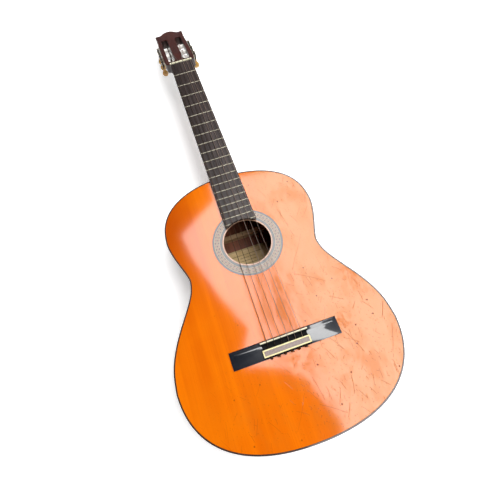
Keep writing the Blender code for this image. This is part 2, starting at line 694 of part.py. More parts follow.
def make_side_plate(name, side, head):
    """A flat plate on the head's side with two bearing ears for each worm shaft."""
    middle = -ROLLER_DEPTH
    outer_x = PLATE_INNER_X + SIDE_PLATE_THICK
    high = middle + SIDE_PLATE_HEIGHT / 2
    low = middle - SIDE_PLATE_HEIGHT / 2
    start, end = SIDE_PLATE_SPAN
    tip = SIDE_PLATE_CORNER
    loop = [(start, low + tip), (start + tip, low), (end - tip, low), (end, low + tip)]
    loop += [(end, high - tip), (end - tip, high), (start + tip, high), (start, high - tip)]
    body = loft([[(side * x, y, z) for y, z in loop] for x in (PLATE_INNER_X, outer_x)])
    plate = mesh_object(name, [body], "plated_steel", head)
    half_worm = WORM_HALF + GAP
    ears = []
    holes = []
    for place in ROLLER_PLACES:
        worm_y = place + WORM_OFFSET
        for sign in (-1, 1):
            near = (side * (outer_x - SIDE_PLATE_THICK / 2), worm_y - EAR_HALF, middle + sign * half_worm)
            far = (side * EAR_END_X, worm_y + EAR_HALF, middle + sign * (half_worm + EAR_THICK))
            ears.append(box([min(pair) for pair in zip(near, far)], [max(pair) for pair in zip(near, far)]))
        worm_x = side * WORM_X
        reach = half_worm + EAR_THICK + 0.001
        below = (worm_x, worm_y, middle - reach)
        holes.append(rod(below, (worm_x, worm_y, middle + reach), WORM_SHAFT + GAP, 8))
        inside = (side * (PLATE_INNER_X - 0.001), place, middle)
        outside = (side * (outer_x + 0.001), place, middle)
        holes.append(rod(inside, outside, JOURNAL_RADIUS + 2 * GAP, 8))
    combine(plate, mesh_object(f"{name}_ears", ears, None, head), "UNION")
    combine(plate, mesh_object(f"{name}_holes", holes, None, head), "DIFFERENCE")


def gear_shape(side):
    """A spur wheel about X whose teeth lean to the thread's angle, with a gap facing +Y.

    Each flat side is one face per tooth, from the tooth's first root corner to the next tooth's.
    """
    lean = TOOTH_PITCH / (math.tau * WORM_PITCH_RADIUS) / GEAR_PITCH_RADIUS
    tooth = math.tau / GEAR_TEETH
    corners = ((GEAR_ROOT, -0.160), (GEAR_TIP, -0.042), (GEAR_TIP, 0.042), (GEAR_ROOT, 0.160))
    bore = JOURNAL_RADIUS + 2 * GAP
    points = []
    for x in (-GEAR_WIDTH / 2, GEAR_WIDTH / 2):
        turns = [((i + 0.5) * tooth + turn + lean * x, r) for i in range(GEAR_TEETH) for r, turn in corners]
        turns += [(i * tooth + lean * x, bore) for i in range(GEAR_TEETH)]
        points += [(side * x, r * math.cos(turn), r * math.sin(turn)) for turn, r in turns]
    rim = len(corners) * GEAR_TEETH
    layer = rim + GEAR_TEETH
    faces = []
    for i in range(rim):
        j = (i + 1) % rim
        faces.append((i, j, layer + j, layer + i))
    for i in range(GEAR_TEETH):
        here = rim + i
        after = rim + (i + 1) % GEAR_TEETH
        faces.append((here, after, layer + after, layer + here))
        tooth_rim = [(len(corners) * i + k) % rim for k in range(len(corners) + 1)]
        cap = [here] + tooth_rim + [after]
        faces.append(cap)
        faces.append([layer + k for k in cap])
    return points, faces


def worm_shape(side, shaft_top, shaft_low):
    """A single-start worm about Z: four helical edges, with a crest facing -Y at mid length."""
    edges = ((-THREAD_HALF_ROOT, WORM_ROOT), (-THREAD_HALF_CREST, WORM_TIP))
    edges += ((THREAD_HALF_CREST, WORM_TIP), (THREAD_HALF_ROOT, WORM_ROOT))
    steps = int(WORM_STEPS * (WORM_TURNS - 1)) + 1
    first = -(steps - 1) / 2
    points = []
    for i in range(steps + WORM_STEPS):
        for offset, radius in edges:
            turn = math.tau * (i + first - WORM_STEPS / 2) / WORM_STEPS - math.pi / 2
            z = TOOTH_PITCH * (i + first - WORM_STEPS / 2) / WORM_STEPS + offset
            points.append((side * radius * math.cos(turn), radius * math.sin(turn), z))
    last = steps + WORM_STEPS - 1
    faces = []
    for i in range(last):
        for e in range(3):
            faces.append((4 * i + e, 4 * i + 4 + e, 4 * i + 5 + e, 4 * i + 1 + e))
    for i in range(last - WORM_STEPS):
        j = i + WORM_STEPS
        faces.append((4 * i + 3, 4 * i + 7, 4 * j + 4, 4 * j))

    def end_rings(first_step, edge, levels):
        """Round shaft sections beyond one end of the thread, joined to its outermost edge."""
        starts = []
        for z, radius in levels:
            starts.append(len(points))
            for k in range(WORM_STEPS):
                turn = math.tau * (first_step + k + first - WORM_STEPS / 2) / WORM_STEPS - math.pi / 2
                points.append((side * radius * math.cos(turn), radius * math.sin(turn), z))
        ring = starts[0]
        for k in range(WORM_STEPS):
            after = ring + (k + 1) % WORM_STEPS
            here = 4 * (first_step + k) + edge
            faces.append((ring + k, after, here + 4, here))
        for ring, beyond in zip(starts, starts[1:]):
            for k in range(WORM_STEPS):
                after = (k + 1) % WORM_STEPS
                faces.append((ring + k, ring + after, beyond + after, beyond + k))
        faces.append([starts[-1] + k for k in range(WORM_STEPS)])
        return starts[0]

    low = end_rings(0, 0, ((-WORM_HALF, WORM_ROOT), (-WORM_HALF, WORM_SHAFT), (shaft_low, WORM_SHAFT)))
    faces.append([low, 0, 1, 2, 3, 4 * WORM_STEPS])
    start = last - WORM_STEPS
    high = end_rings(start, 3, ((WORM_HALF, WORM_ROOT), (WORM_HALF, WORM_SHAFT), (shaft_top, WORM_SHAFT)))
    faces.append([high, 4 * start + 3] + [4 * last + e for e in range(4)])
    return points, faces


def button_shape():
    """An oval button with a waist under its collar and a blind hole for the worm shaft."""
    rings = []
    for z in (-BUTTON_HOLE_DEPTH, 0.0):
        rings.append([(x, y, z) for x, y in circle(WORM_SHAFT + GAP, 12)])
    for share, width, thick in BUTTON_SECTIONS:
        z = -BUTTON_LENGTH * share
        ring = circle(1.0, 12)
        rings.append([(x * BUTTON_HALF_WIDTH * width, y * BUTTON_HALF_THICK * thick, z) for x, y in ring])
    return loft(rings)


def axis_empty(name, place, parent):
    empty = bpy.data.objects.new(name, None)
    empty.location = place
    empty.empty_display_size = 0.01
    return link(empty, parent)


def make_tuner(number, head):
    side, row = tuner_of(number)
    place = ROLLER_PLACES[row]
    roller_axis = axis_empty(f"roller_axis_{number}", (0.0, place, -ROLLER_DEPTH), head)
    gear_end = WORM_X + GEAR_WIDTH / 2
    shoulder_x = HEAD_HALF - GAP
    screw_x = gear_end + GAP
    profile = [(ROLLER_INNER_X, ROLLER_RADIUS), (shoulder_x, ROLLER_RADIUS), (shoulder_x, JOURNAL_RADIUS)]
    profile += [(screw_x, JOURNAL_RADIUS), (screw_x, SCREW_RADIUS), (gear_end + 0.0014, SCREW_RADIUS)]
    roller = turned([(side * x, r) for x, r in profile], 12)
    smooth(mesh_object(f"roller_{number}", [roller], "white_plastic", roller_axis))
    gear = mesh_object(f"roller_gear_{number}", [gear_shape(side)], "dark_steel", roller_axis)
    gear.location.x = side * WORM_X

    worm_place = (side * WORM_X, place + WORM_OFFSET, -ROLLER_DEPTH)
    worm_axis = axis_empty(f"worm_axis_{number}", worm_place, head)
    ear_end = WORM_HALF + GAP + EAR_THICK
    button_top = BUTTON_TOP + ROLLER_DEPTH
    worm = worm_shape(side, ear_end + 0.0008, button_top - BUTTON_HOLE_DEPTH + 0.0005)
    mesh_object(f"worm_shaft_{number}", [worm], "dark_steel", worm_axis)
    button = smooth(mesh_object(f"button_{number}", [button_shape()], "amber_plastic", worm_axis))
    button.location.z = button_top


# ---------------------------------------------------------------- the guitar


def main():
    for obj in list(bpy.data.objects):
        bpy.data.objects.remove(obj)
    make_plates()
    make_rib("rib_bass", -1)
    make_rib("rib_treble", 1)
    make_edges()
    make_block("tail_block", True, TAIL_BLOCK_THICK)
    make_block("neck_block", False, NECK_BLOCK_THICK)
    make_braces()
    make_neck()
    make_fingerboard()
    make_nut()
    make_bridge()
    head = axis_empty("head_frame", (0.0, HEAD_Y, HEAD_Z), None)
    head.rotation_euler.x = -HEAD_TILT
    head_matrix = Matrix.Translation((0.0, HEAD_Y, HEAD_Z)) @ Matrix.Rotation(-HEAD_TILT, 4, "X")
    make_head(head)
    make_side_plate("tuner_plate_bass", -1, head)
    make_side_plate("tuner_plate_treble", 1, head)
    for number in range(1, 7):
        make_tuner(number, head)
        make_string(number, head_matrix)


main()
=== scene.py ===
"""The looks of a classical guitar with a slotted head, lying on its back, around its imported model.

Metres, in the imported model's frame: +X treble side, +Y tail to head, +Z out of the soundboard.
"""

import json
from math import atan2, cos, pi, radians, sin, sqrt, tan, tau

import bmesh
import bpy
from mathutils import Matrix, Vector


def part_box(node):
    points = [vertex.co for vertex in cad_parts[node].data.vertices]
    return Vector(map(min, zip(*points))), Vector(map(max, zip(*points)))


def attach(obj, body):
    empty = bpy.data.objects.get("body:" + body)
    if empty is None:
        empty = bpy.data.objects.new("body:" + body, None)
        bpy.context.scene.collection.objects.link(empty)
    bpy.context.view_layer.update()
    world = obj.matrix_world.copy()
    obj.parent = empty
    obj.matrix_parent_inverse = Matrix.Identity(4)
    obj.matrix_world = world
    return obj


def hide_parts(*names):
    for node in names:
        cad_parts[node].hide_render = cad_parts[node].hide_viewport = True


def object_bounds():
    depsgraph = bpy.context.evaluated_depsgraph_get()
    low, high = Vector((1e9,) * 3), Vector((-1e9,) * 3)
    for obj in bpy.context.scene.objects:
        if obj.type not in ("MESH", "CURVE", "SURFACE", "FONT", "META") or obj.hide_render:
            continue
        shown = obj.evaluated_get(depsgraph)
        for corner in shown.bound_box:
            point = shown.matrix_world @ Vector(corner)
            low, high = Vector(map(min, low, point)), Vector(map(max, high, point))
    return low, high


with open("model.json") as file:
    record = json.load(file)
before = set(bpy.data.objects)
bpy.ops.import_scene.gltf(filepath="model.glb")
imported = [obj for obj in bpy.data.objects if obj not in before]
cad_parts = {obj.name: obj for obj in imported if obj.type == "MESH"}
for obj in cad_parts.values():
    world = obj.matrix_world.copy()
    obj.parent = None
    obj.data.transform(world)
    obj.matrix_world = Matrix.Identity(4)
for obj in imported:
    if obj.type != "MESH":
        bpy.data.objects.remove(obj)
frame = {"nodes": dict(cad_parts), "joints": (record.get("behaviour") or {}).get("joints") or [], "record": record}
CAD_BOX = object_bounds()

GUITAR = "guitar"
NUMBERS = range(1, 7)  # strings, 1 the highest, on the treble side
GAP = 0.0003

# Camera and light.
CAMERA_PLACE = Vector((-0.0610, -0.1090, 0.6320))
CAMERA_RIGHT = Vector((0.94667, -0.32035, -0.03441))
CAMERA_UP = Vector((0.31153, 0.88288, 0.35139))
CAMERA_LENS = 22.74
CAMERA_SHIFT = (0.0162, -0.0035)
PANEL_HEIGHT = 3.0
PANEL_RADIANCE = 6.4
SKY_RADIANCE = 0.35
BACKDROP_RADIANCE = 1.0
FLOOR_GLOW = 0.45
FLOOR_HALF = 20.0
FLOOR_GAP = 0.0002
# The outline of the bright panel's mirror image on the soundboard, listed from the heel round the bass side to the
# tail.
PANEL_IMAGE = (
    (0.26, 0.30), (0.12, 0.30), (0.10, 0.226), (-0.03, 0.239), (-0.034, 0.20), (-0.080, 0.17),
    (-0.112, 0.148), (-0.105, 0.10), (-0.08, 0.02), (-0.05, -0.05), (-0.08, -0.10), (-0.015, -0.128),
    (0.012, -0.155), (0.036, -0.22), (0.036, -0.24), (-0.02, -0.27), (-0.02, -0.40), (0.26, -0.40),
)

# Sizes that the nodes' boxes don't tell.
BODY_MIDDLE_Y = 0.03
BINDING_ROUNDING = 0.0010
HOLE_RADIUS = 0.0435
HOLE_STEPS = 144
ROSETTE_INNER = 0.0460
ROSETTE_LINES = (0.25, 0.29, 0.77, 0.81)  # shares of the rosette's width where its rings change
ROSETTE_GROOVE = 0.00006
BACK_STRIP_HALF = 0.004
SCALE = 0.650
FRET_COUNT = 19
HEAD_TILT = radians(15)
HEAD_MOUNT_ALONG = 0.160
STRING_RADII = (0.00036, 0.00041, 0.00051, 0.00038, 0.00045, 0.00055)
STRING_SPREAD_NUT = 0.0430
STRING_SPREAD_SADDLE = 0.0582
STRING_LANDINGS = (0.0200, 0.0175, 0.0170)
STRING_BEND_REACH = 0.0012
ROUNDING_DIP = 0.0002
WINDING_TURNS = 3.6
KNOT_TURNS = 1.35
KNOT_HALF = 0.0016
KNOT_RADIUS = 0.0008
BOARD_ROUNDING = 0.0006
NUT_CROWN = 0.0007
TIE_HOLE_HEIGHT = 0.0052
TIE_HOLE_RADIUS = 0.0012
CHANNEL_HEIGHT = 0.0035
BRIDGE_ROUNDING = (0.0016, 0.0020)
WING_HEIGHT = 0.0056
WING_RIDGE_BACK = 0.009
WING_TIP_HEIGHT = 0.0016
WING_SCOOP_LENGTH = 0.0090
WING_SCOOP_RADIUS = 0.030
NECK_DEPTH_NUT = 0.0150
NECK_DEPTH_BODY = 0.0180
HEEL_CAP_LENGTH = 0.020
HEEL_CURVE_LENGTH = 0.055
HEEL_NARROWING = 0.45
NECK_ROUNDNESS = 0.8
HEAD_HALF = 0.0350
HEAD_TOP_HALF = 0.0362
HEAD_NUT_HALF = 0.0262
HEAD_CORNER = 0.0340
HEAD_CREST_FOOT = (0.0265, 0.1752)
HEAD_CORNER_Y = 0.1762
HEAD_TIP_Y = 0.1920
HEAD_THICK = 0.020
VENEER_THICK = 0.002
SLOT_WIDTH = 0.016
SLOT_SPAN = (0.0140, 0.1435)
ROLLER_RADIUS = 0.005
ROLLER_INNER_X = 0.0055
ROLLER_WAIST_SPAN = (0.0104, 0.0252)
STRING_HOLE_X = 0.0137
STRING_HOLE_RADIUS = 0.0011
JOURNAL_RADIUS = 0.0025
SIDE_PLATE_THICK = 0.0010
SIDE_PLATE_SPAN = (0.018, 0.133)
SIDE_PLATE_HALF = 0.007
SIDE_PLATE_CORNER = 0.004
SCREW_INSET = 0.0035
MIDDLE_SCREWS = (0.0537, 0.0877)
EAR_END_X = 0.0434
EAR_HALF = 0.0026
WORM_ROOT = 0.0018
WORM_TIP = 0.0037
WORM_SHAFT = 0.0015
WORM_TURNS = 2.2
GEAR_TEETH = 14
GEAR_PITCH_RADIUS = 0.0063
TOOTH_PITCH = tau * GEAR_PITCH_RADIUS / GEAR_TEETH
EAR_THICK = 0.0013
WORM_HALF = WORM_TURNS * TOOTH_PITCH / 2 + 0.0011
FRET_HEIGHT = 0.0010
FRET_HALF = 0.0012
FRET_ROOT = 0.0004
INLAY_BORDER = 0.0022
BUTTON_LENGTH = 0.0190
BUTTON_HALF_WIDTH = 0.0074
BUTTON_HALF_THICK = 0.0042
# The button's sections from its top: shares of its length, half width and half thickness.
BUTTON_SECTIONS = (
    (0.0, 0.36, 0.60), (0.0, 0.46, 0.76), (0.06, 0.46, 0.76), (0.16, 0.40, 0.60), (0.30, 0.62, 0.74),
    (0.46, 0.95, 0.90), (0.66, 1.04, 1.0), (0.84, 0.92, 0.86), (0.96, 0.62, 0.56), (1.0, 0.25, 0.22),
)


# ---- places from the frame


def head_frame():
    """The head's own frame: +Y along it and +Z out of its face, from the face's edge at the nut."""
    mount = next(m for m in frame["record"]["mounts"] if m["name"] == "head_face")
    up = Vector(mount["axis"]).normalized()
    along = up.cross(Vector((1, 0, 0)))
    turn = Matrix((Vector((1, 0, 0)), along, up)).transposed().to_4x4()
    return Matrix.Translation(Vector(mount["pos_m"]) - along * HEAD_MOUNT_ALONG) @ turn


HEAD = head_frame()
TO_HEAD = HEAD.inverted()


def axis_place(body):
    """Where the axis of a body's joint is, in the head's own frame."""
    return TO_HEAD @ Vector(next(j for j in frame["joints"] if j["name"] == body + "_turn")["pos_m"])


TOP_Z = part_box("soundboard")[1].z
ROSETTE_LOW, ROSETTE_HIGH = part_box("rosette")
HOLE_CENTRE = (ROSETTE_LOW + ROSETTE_HIGH).xy / 2
ROSETTE_OUTER = (ROSETTE_HIGH.x - ROSETTE_LOW.x) / 2
NUT_LOW, NUT_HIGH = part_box("nut")
NUT_Y = NUT_LOW.y
BOARD_LOW, BOARD_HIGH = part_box("fingerboard")


# ---- mesh helpers


def loft(rings):
    """A closed shape through rings of equal length, capped at both ends."""
    count = len(rings[0])
    points = [tuple(p) for ring in rings for p in ring]
    faces = [list(range(count)), [(len(rings) - 1) * count + i for i in range(count)]]
    for r in range(len(rings) - 1):
        for i in range(count):
            j = (i + 1) % count
            faces.append((r * count + i, r * count + j, (r + 1) * count + j, (r + 1) * count + i))
    return points, faces


def closed_loft(rings):
    """A closed shape through rings that run on from the last one to the first."""
    points, faces = loft(list(rings) + [rings[0]])
    total = len(rings) * len(rings[0])
    return points[:total], [[i % total for i in face] for face in faces[2:]]


def prism(loop, low, high):
    return loft([[(x, y, z) for x, y in loop] for z in (low, high)])


def circle(radius, steps, centre=(0.0, 0.0)):
    turns = (tau * i / steps for i in range(steps))
    return [(centre[0] + radius * cos(t), centre[1] + radius * sin(t)) for t in turns]


def arc(angle, steps):
    """The (cosine, sine) pairs along a turn from 0 to angle."""
    turns = (angle * i / steps for i in range(steps + 1))
    return [(cos(turn), sin(turn)) for turn in turns]


def drawn_out(section, start_x, end_x):
    """A shape with the same (y, z) section all along X."""
    return loft([[(x, y, z) for y, z in section] for x in (start_x, end_x)])


def hole_cutter(radius, low_z, high_z):
    return prism(circle(radius, HOLE_STEPS, HOLE_CENTRE), low_z, high_z)


def hole_ring(section):
    """A ring round the soundhole, from (radius, height) pairs of its section."""
    return closed_loft([[(x, y, z) for x, y in circle(r, HOLE_STEPS, HOLE_CENTRE)] for r, z in section])


def rod(start, end, radius, steps=24):
    start = Vector(start)
    along = Vector(end) - start
    turn = along.to_track_quat("Z", "Y").to_matrix()
    ring = [turn @ Vector((x, y, 0.0)) for x, y in circle(radius, steps)]
    return loft([[start + p for p in ring], [start + along + p for p in ring]])


def turned(profile, steps, matrix):
    """A solid turned about a matrix's Z axis, from (place, radius) pairs along it."""
    rings = [[matrix @ Vector((x, y, place)) for x, y in circle(radius, steps)] for place, radius in profile]
    return loft(rings)


def box(low, high):
    points = [(x, y, z) for x in (low[0], high[0]) for y in (low[1], high[1]) for z in (low[2], high[2])]
    faces = [(0, 1, 3, 2), (4, 6, 7, 5), (0, 4, 5, 1), (2, 3, 7, 6), (0, 2, 6, 4), (1, 5, 7, 3)]
    return points, faces


def build(name, shapes, matrix=None):
    """An object from closed (points, faces) shapes, with its faces turned outwards."""
    mesh = bpy.data.meshes.new(name)
    points = []
    faces = []
    for shape_points, shape_faces in shapes:
        start = len(points)
        points += shape_points
        faces += [[start + i for i in face] for face in shape_faces]
    mesh.from_pydata([tuple(p) for p in points], [], faces)
    whole = bmesh.new()
    whole.from_mesh(mesh)
    bmesh.ops.recalc_face_normals(whole, faces=whole.faces)
    whole.to_mesh(mesh)
    whole.free()
    if matrix:
        mesh.transform(matrix)
    made = bpy.data.objects.new(name, mesh)
    bpy.context.scene.collection.objects.link(made)
    return made


def settle(obj):
    """Replaces obj's mesh with what its modifiers make of it."""
    graph = bpy.context.evaluated_depsgraph_get()
    settled = bpy.data.meshes.new_from_object(obj.evaluated_get(graph))
    obj.modifiers.clear()
    obj.data = settled


def cut(obj, shapes, operation="DIFFERENCE", matrix=None):
    """Cuts shapes out of obj, or joins them to it."""
    tool = build(obj.name + "_tool", shapes, matrix)
    modifier = obj.modifiers.new(operation, "BOOLEAN")
    modifier.operation = operation
    modifier.object = tool
    settle(obj)
    bpy.data.objects.remove(tool)


def soften(obj, width, angle):
    """Bevels an object's sharp edges and keeps its flat faces flat in the shading."""
    modifier = obj.modifiers.new("softened_edges", "BEVEL")
    modifier.width = width
    modifier.segments = 2
    modifier.limit_method = "ANGLE"
    modifier.angle_limit = radians(angle)
    modifier.harden_normals = True


def put(piece, look, body, stands_for):
    """Gives a piece its material, and puts it on its body in place of the nodes it stands for."""
    piece.data.materials.clear()
    piece.data.materials.append(LOOKS[look])
    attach(piece, body)
    if stands_for:
        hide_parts(*stands_for)


def tube(name, route, radius, look, body=GUITAR, stands_for=()):
    """A round string along a route."""
    curve = bpy.data.curves.new(name, "CURVE")
    curve.dimensions = "3D"
    curve.bevel_depth = radius
    curve.bevel_resolution = 4
    curve.use_fill_caps = True
    spline = curve.splines.new("POLY")
    spline.points.add(len(route) - 1)
    for point, place in zip(spline.points, route):
        point.co = (*place, 1.0)
    made = bpy.data.objects.new(name, curve)
    bpy.context.scene.collection.objects.link(made)
    put(made, look, body, stands_for)


def bezier(a, b, c, d, steps):
    """Points along a cubic span, without its last one."""
    a, b, c, d = (Vector(p) for p in (a, b, c, d))
    found = []
    for i in range(steps):
        t = i / steps
        u = 1 - t
        found.append(a * u**3 + b * (3 * u * u * t) + c * (3 * u * t * t) + d * t**3)
    return found


def dress(obj, look, body=GUITAR, stands_for=(), angle=35, bevel=0.0):
    """Shades and softens a piece's edges and puts it in its place."""
    obj.data.shade_smooth()
    obj.data.set_sharp_from_angle(angle=radians(angle))
    if bevel:
        soften(obj, bevel, angle)
        settle(obj)
    put(obj, look, body, stands_for)


# ---- materials


LOOKS = {}


class Nodes:
    """A node tree in the making. Most methods add one node and return its output."""

    def __init__(self, tree, coordinates):
        self.tree = tree
        self.place = tree.nodes.new("ShaderNodeTexCoord").outputs[coordinates]

    def feed(self, socket, value):
        if isinstance(value, bpy.types.NodeSocket):
            self.tree.links.new(value, socket)
        elif socket.type == "RGBA":
            socket.default_value = (*value, 1.0)
        else:
            socket.default_value = value

    def node(self, kind, settings, inputs, output=0):
        made = self.tree.nodes.new("ShaderNode" + kind)
        for name, value in settings.items():
            setattr(made, name, value)
        for key, value in inputs.items():
            self.feed(made.inputs[key], value)
        return made.outputs[output]

    def stretched(self, x, y, z):
        inputs = {"Vector": self.place, "Scale": (1 / x, 1 / y, 1 / z)}
        return self.node("Mapping", {"vector_type": "TEXTURE"}, inputs)

    def grain(self, stretch, detail, rough=0.5, distortion=0.0):
        return self.noise(self.stretched(*stretch), 1.0, detail, rough, distortion)

    def noise(self, vector, scale, detail=2.0, rough=0.5, distortion=0.0):
        inputs = {"Vector": vector, "Scale": scale, "Detail": detail, "Roughness": rough}
        return self.node("TexNoise", {}, {**inputs, "Distortion": distortion})

    def span(self, value, low, high, to_low=0.0, to_high=1.0):
        inputs = {0: value, 1: low, 2: high, 3: to_low, 4: to_high}
        return self.node("MapRange", {}, inputs)

    def maths(self, operation, first, second=0.0):
        return self.node("Math", {"operation": operation}, {0: first, 1: second})

    def times(self, first, second):
        return self.maths("MULTIPLY", first, second)

    def plus(self, first, second):
        return self.maths("ADD", first, second)

    def minus(self, first, second):
        return self.maths("SUBTRACT", first, second)

    def larger(self, first, second):
        return self.maths("MAXIMUM", first, second)

    def off(self, value, middle):
        """How far a value is from a middle one, on either side."""
        return self.maths("ABSOLUTE", self.minus(value, middle))

    def from_place(self, place):
        return self.node("VectorMath", {"operation": "SUBTRACT"}, {0: self.place, 1: place})

    def distance(self, place):
        return self.node("VectorMath", {"operation": "LENGTH"}, {0: self.from_place(place)}, 1)

    def mix(self, factor, first, second):
        return self.node("Mix", {"data_type": "RGBA"}, {0: factor, 6: first, 7: second}, 2)

    def bump(self, height, distance, strength, normal=None):
        inputs = {"Height": height, "Distance": distance, "Strength": strength}
        if normal:
            inputs["Normal"] = normal
        return self.node("Bump", {}, inputs)

    def parts(self, vector):
        made = self.tree.nodes.new("ShaderNodeSeparateXYZ")
        self.tree.links.new(vector, made.inputs[0])
        return made.outputs

    def cells(self, size):
        """An uneven flat grid: a cell's three random numbers, the distance to its middle, and its middle."""
        made = self.tree.nodes.new("ShaderNodeTexVoronoi")
        made.voronoi_dimensions = "2D"
        self.feed(made.inputs["Vector"], self.place)
        made.inputs["Scale"].default_value = 1 / size
        return self.parts(made.outputs["Color"]), made.outputs["Distance"], made.outputs["Position"]

    def hairlines(self, cell, length, width, share):
        """One fine bent scratch, more or less along the grain, on a share of the cells of an uneven grid."""
        (picked, turned_by, long), _, middle = self.cells(cell)
        x, y, _ = self.parts(self.from_place(middle))
        turn = self.span(turned_by, 0.0, 1.0, radians(45), radians(150))
        cosine, sine = self.maths("COSINE", turn), self.maths("SINE", turn)
        along = self.plus(self.times(x, cosine), self.times(y, sine))
        across = self.minus(self.times(y, cosine), self.times(x, sine))
        bend = self.times(self.times(along, along), 0.12 / length)
        reach = self.times(self.span(long, 0.0, 1.0, 0.3, 1.0), length / 2)
        inside = self.maths("LESS_THAN", self.maths("ABSOLUTE", along), reach)
        thin = self.span(self.off(across, bend), width / 2, width / 5)
        kept = self.maths("LESS_THAN", picked, share)
        return self.times(thin, self.times(inside, kept))

    def dots(self, cell, radius, share):
        """Round spots on a share of the cells of an uneven grid."""
        (picked, _, _), distance, _ = self.cells(cell)
        inside = self.span(distance, radius / cell, 0.6 * radius / cell)
        return self.times(inside, self.maths("LESS_THAN", picked, share))


class Look(Nodes):
    """A node material around one Principled shader, which goes into LOOKS by its name."""

    def __init__(self, name, sockets):
        self.material = bpy.data.materials.new(name)
        LOOKS[name] = self.material
        self.material.use_nodes = True
        super().__init__(self.material.node_tree, "Object")
        self.shader = self.tree.nodes["Principled BSDF"]
        self.set(sockets)

    def set(self, sockets):
        for name, value in sockets.items():
            self.feed(self.shader.inputs[name], value)


def wood(name, dark, light, grain=(900, 12, 900), pores=0.5, rough=(0.4, 0.6), coat=0.0, specular=0.5,
         strip=0.0):
    """Wood with long fibres, slow drift and open pores. strip is half the width of a middle inlay."""
    look = Look(name, {"Coat Weight": coat, "Coat Roughness": 0.1, "Specular IOR Level": specular})
    fibres = look.grain(grain, 3.0, 0.6)
    slow = look.grain([g / 14 for g in grain], 3.0, 0.55, 0.4)
    share = look.plus(look.times(fibres, 0.45), look.times(slow, 0.55))
    colour = look.mix(look.span(share, 0.34, 0.66), dark, light)
    fine = look.grain([g * 2.3 for g in grain], 1.0)
    open_pores = look.times(look.span(fine, 0.60, 0.68), pores)
    colour = look.mix(open_pores, colour, tuple(c * 0.35 for c in dark))
    if strip:
        x, _, z = look.parts(look.place)
        off_centre = look.plus(look.maths("ABSOLUTE", x), look.maths("GREATER_THAN", z, 0.001))
        colour = look.mix(look.span(off_centre, strip, strip - 0.0002), colour, tuple(c * 0.2 for c in dark))
        inner = look.span(off_centre, strip * 0.5, strip * 0.5 - 0.0002)
        colour = look.mix(inner, colour, (0.52, 0.34, 0.17))
    height = look.minus(look.times(fibres, 0.4), open_pores)
    look.set({
        "Base Color": colour,
        "Roughness": look.span(fibres, 0.3, 0.7, *rough),
        "Normal": look.bump(height, 0.00008, 0.5),
    })


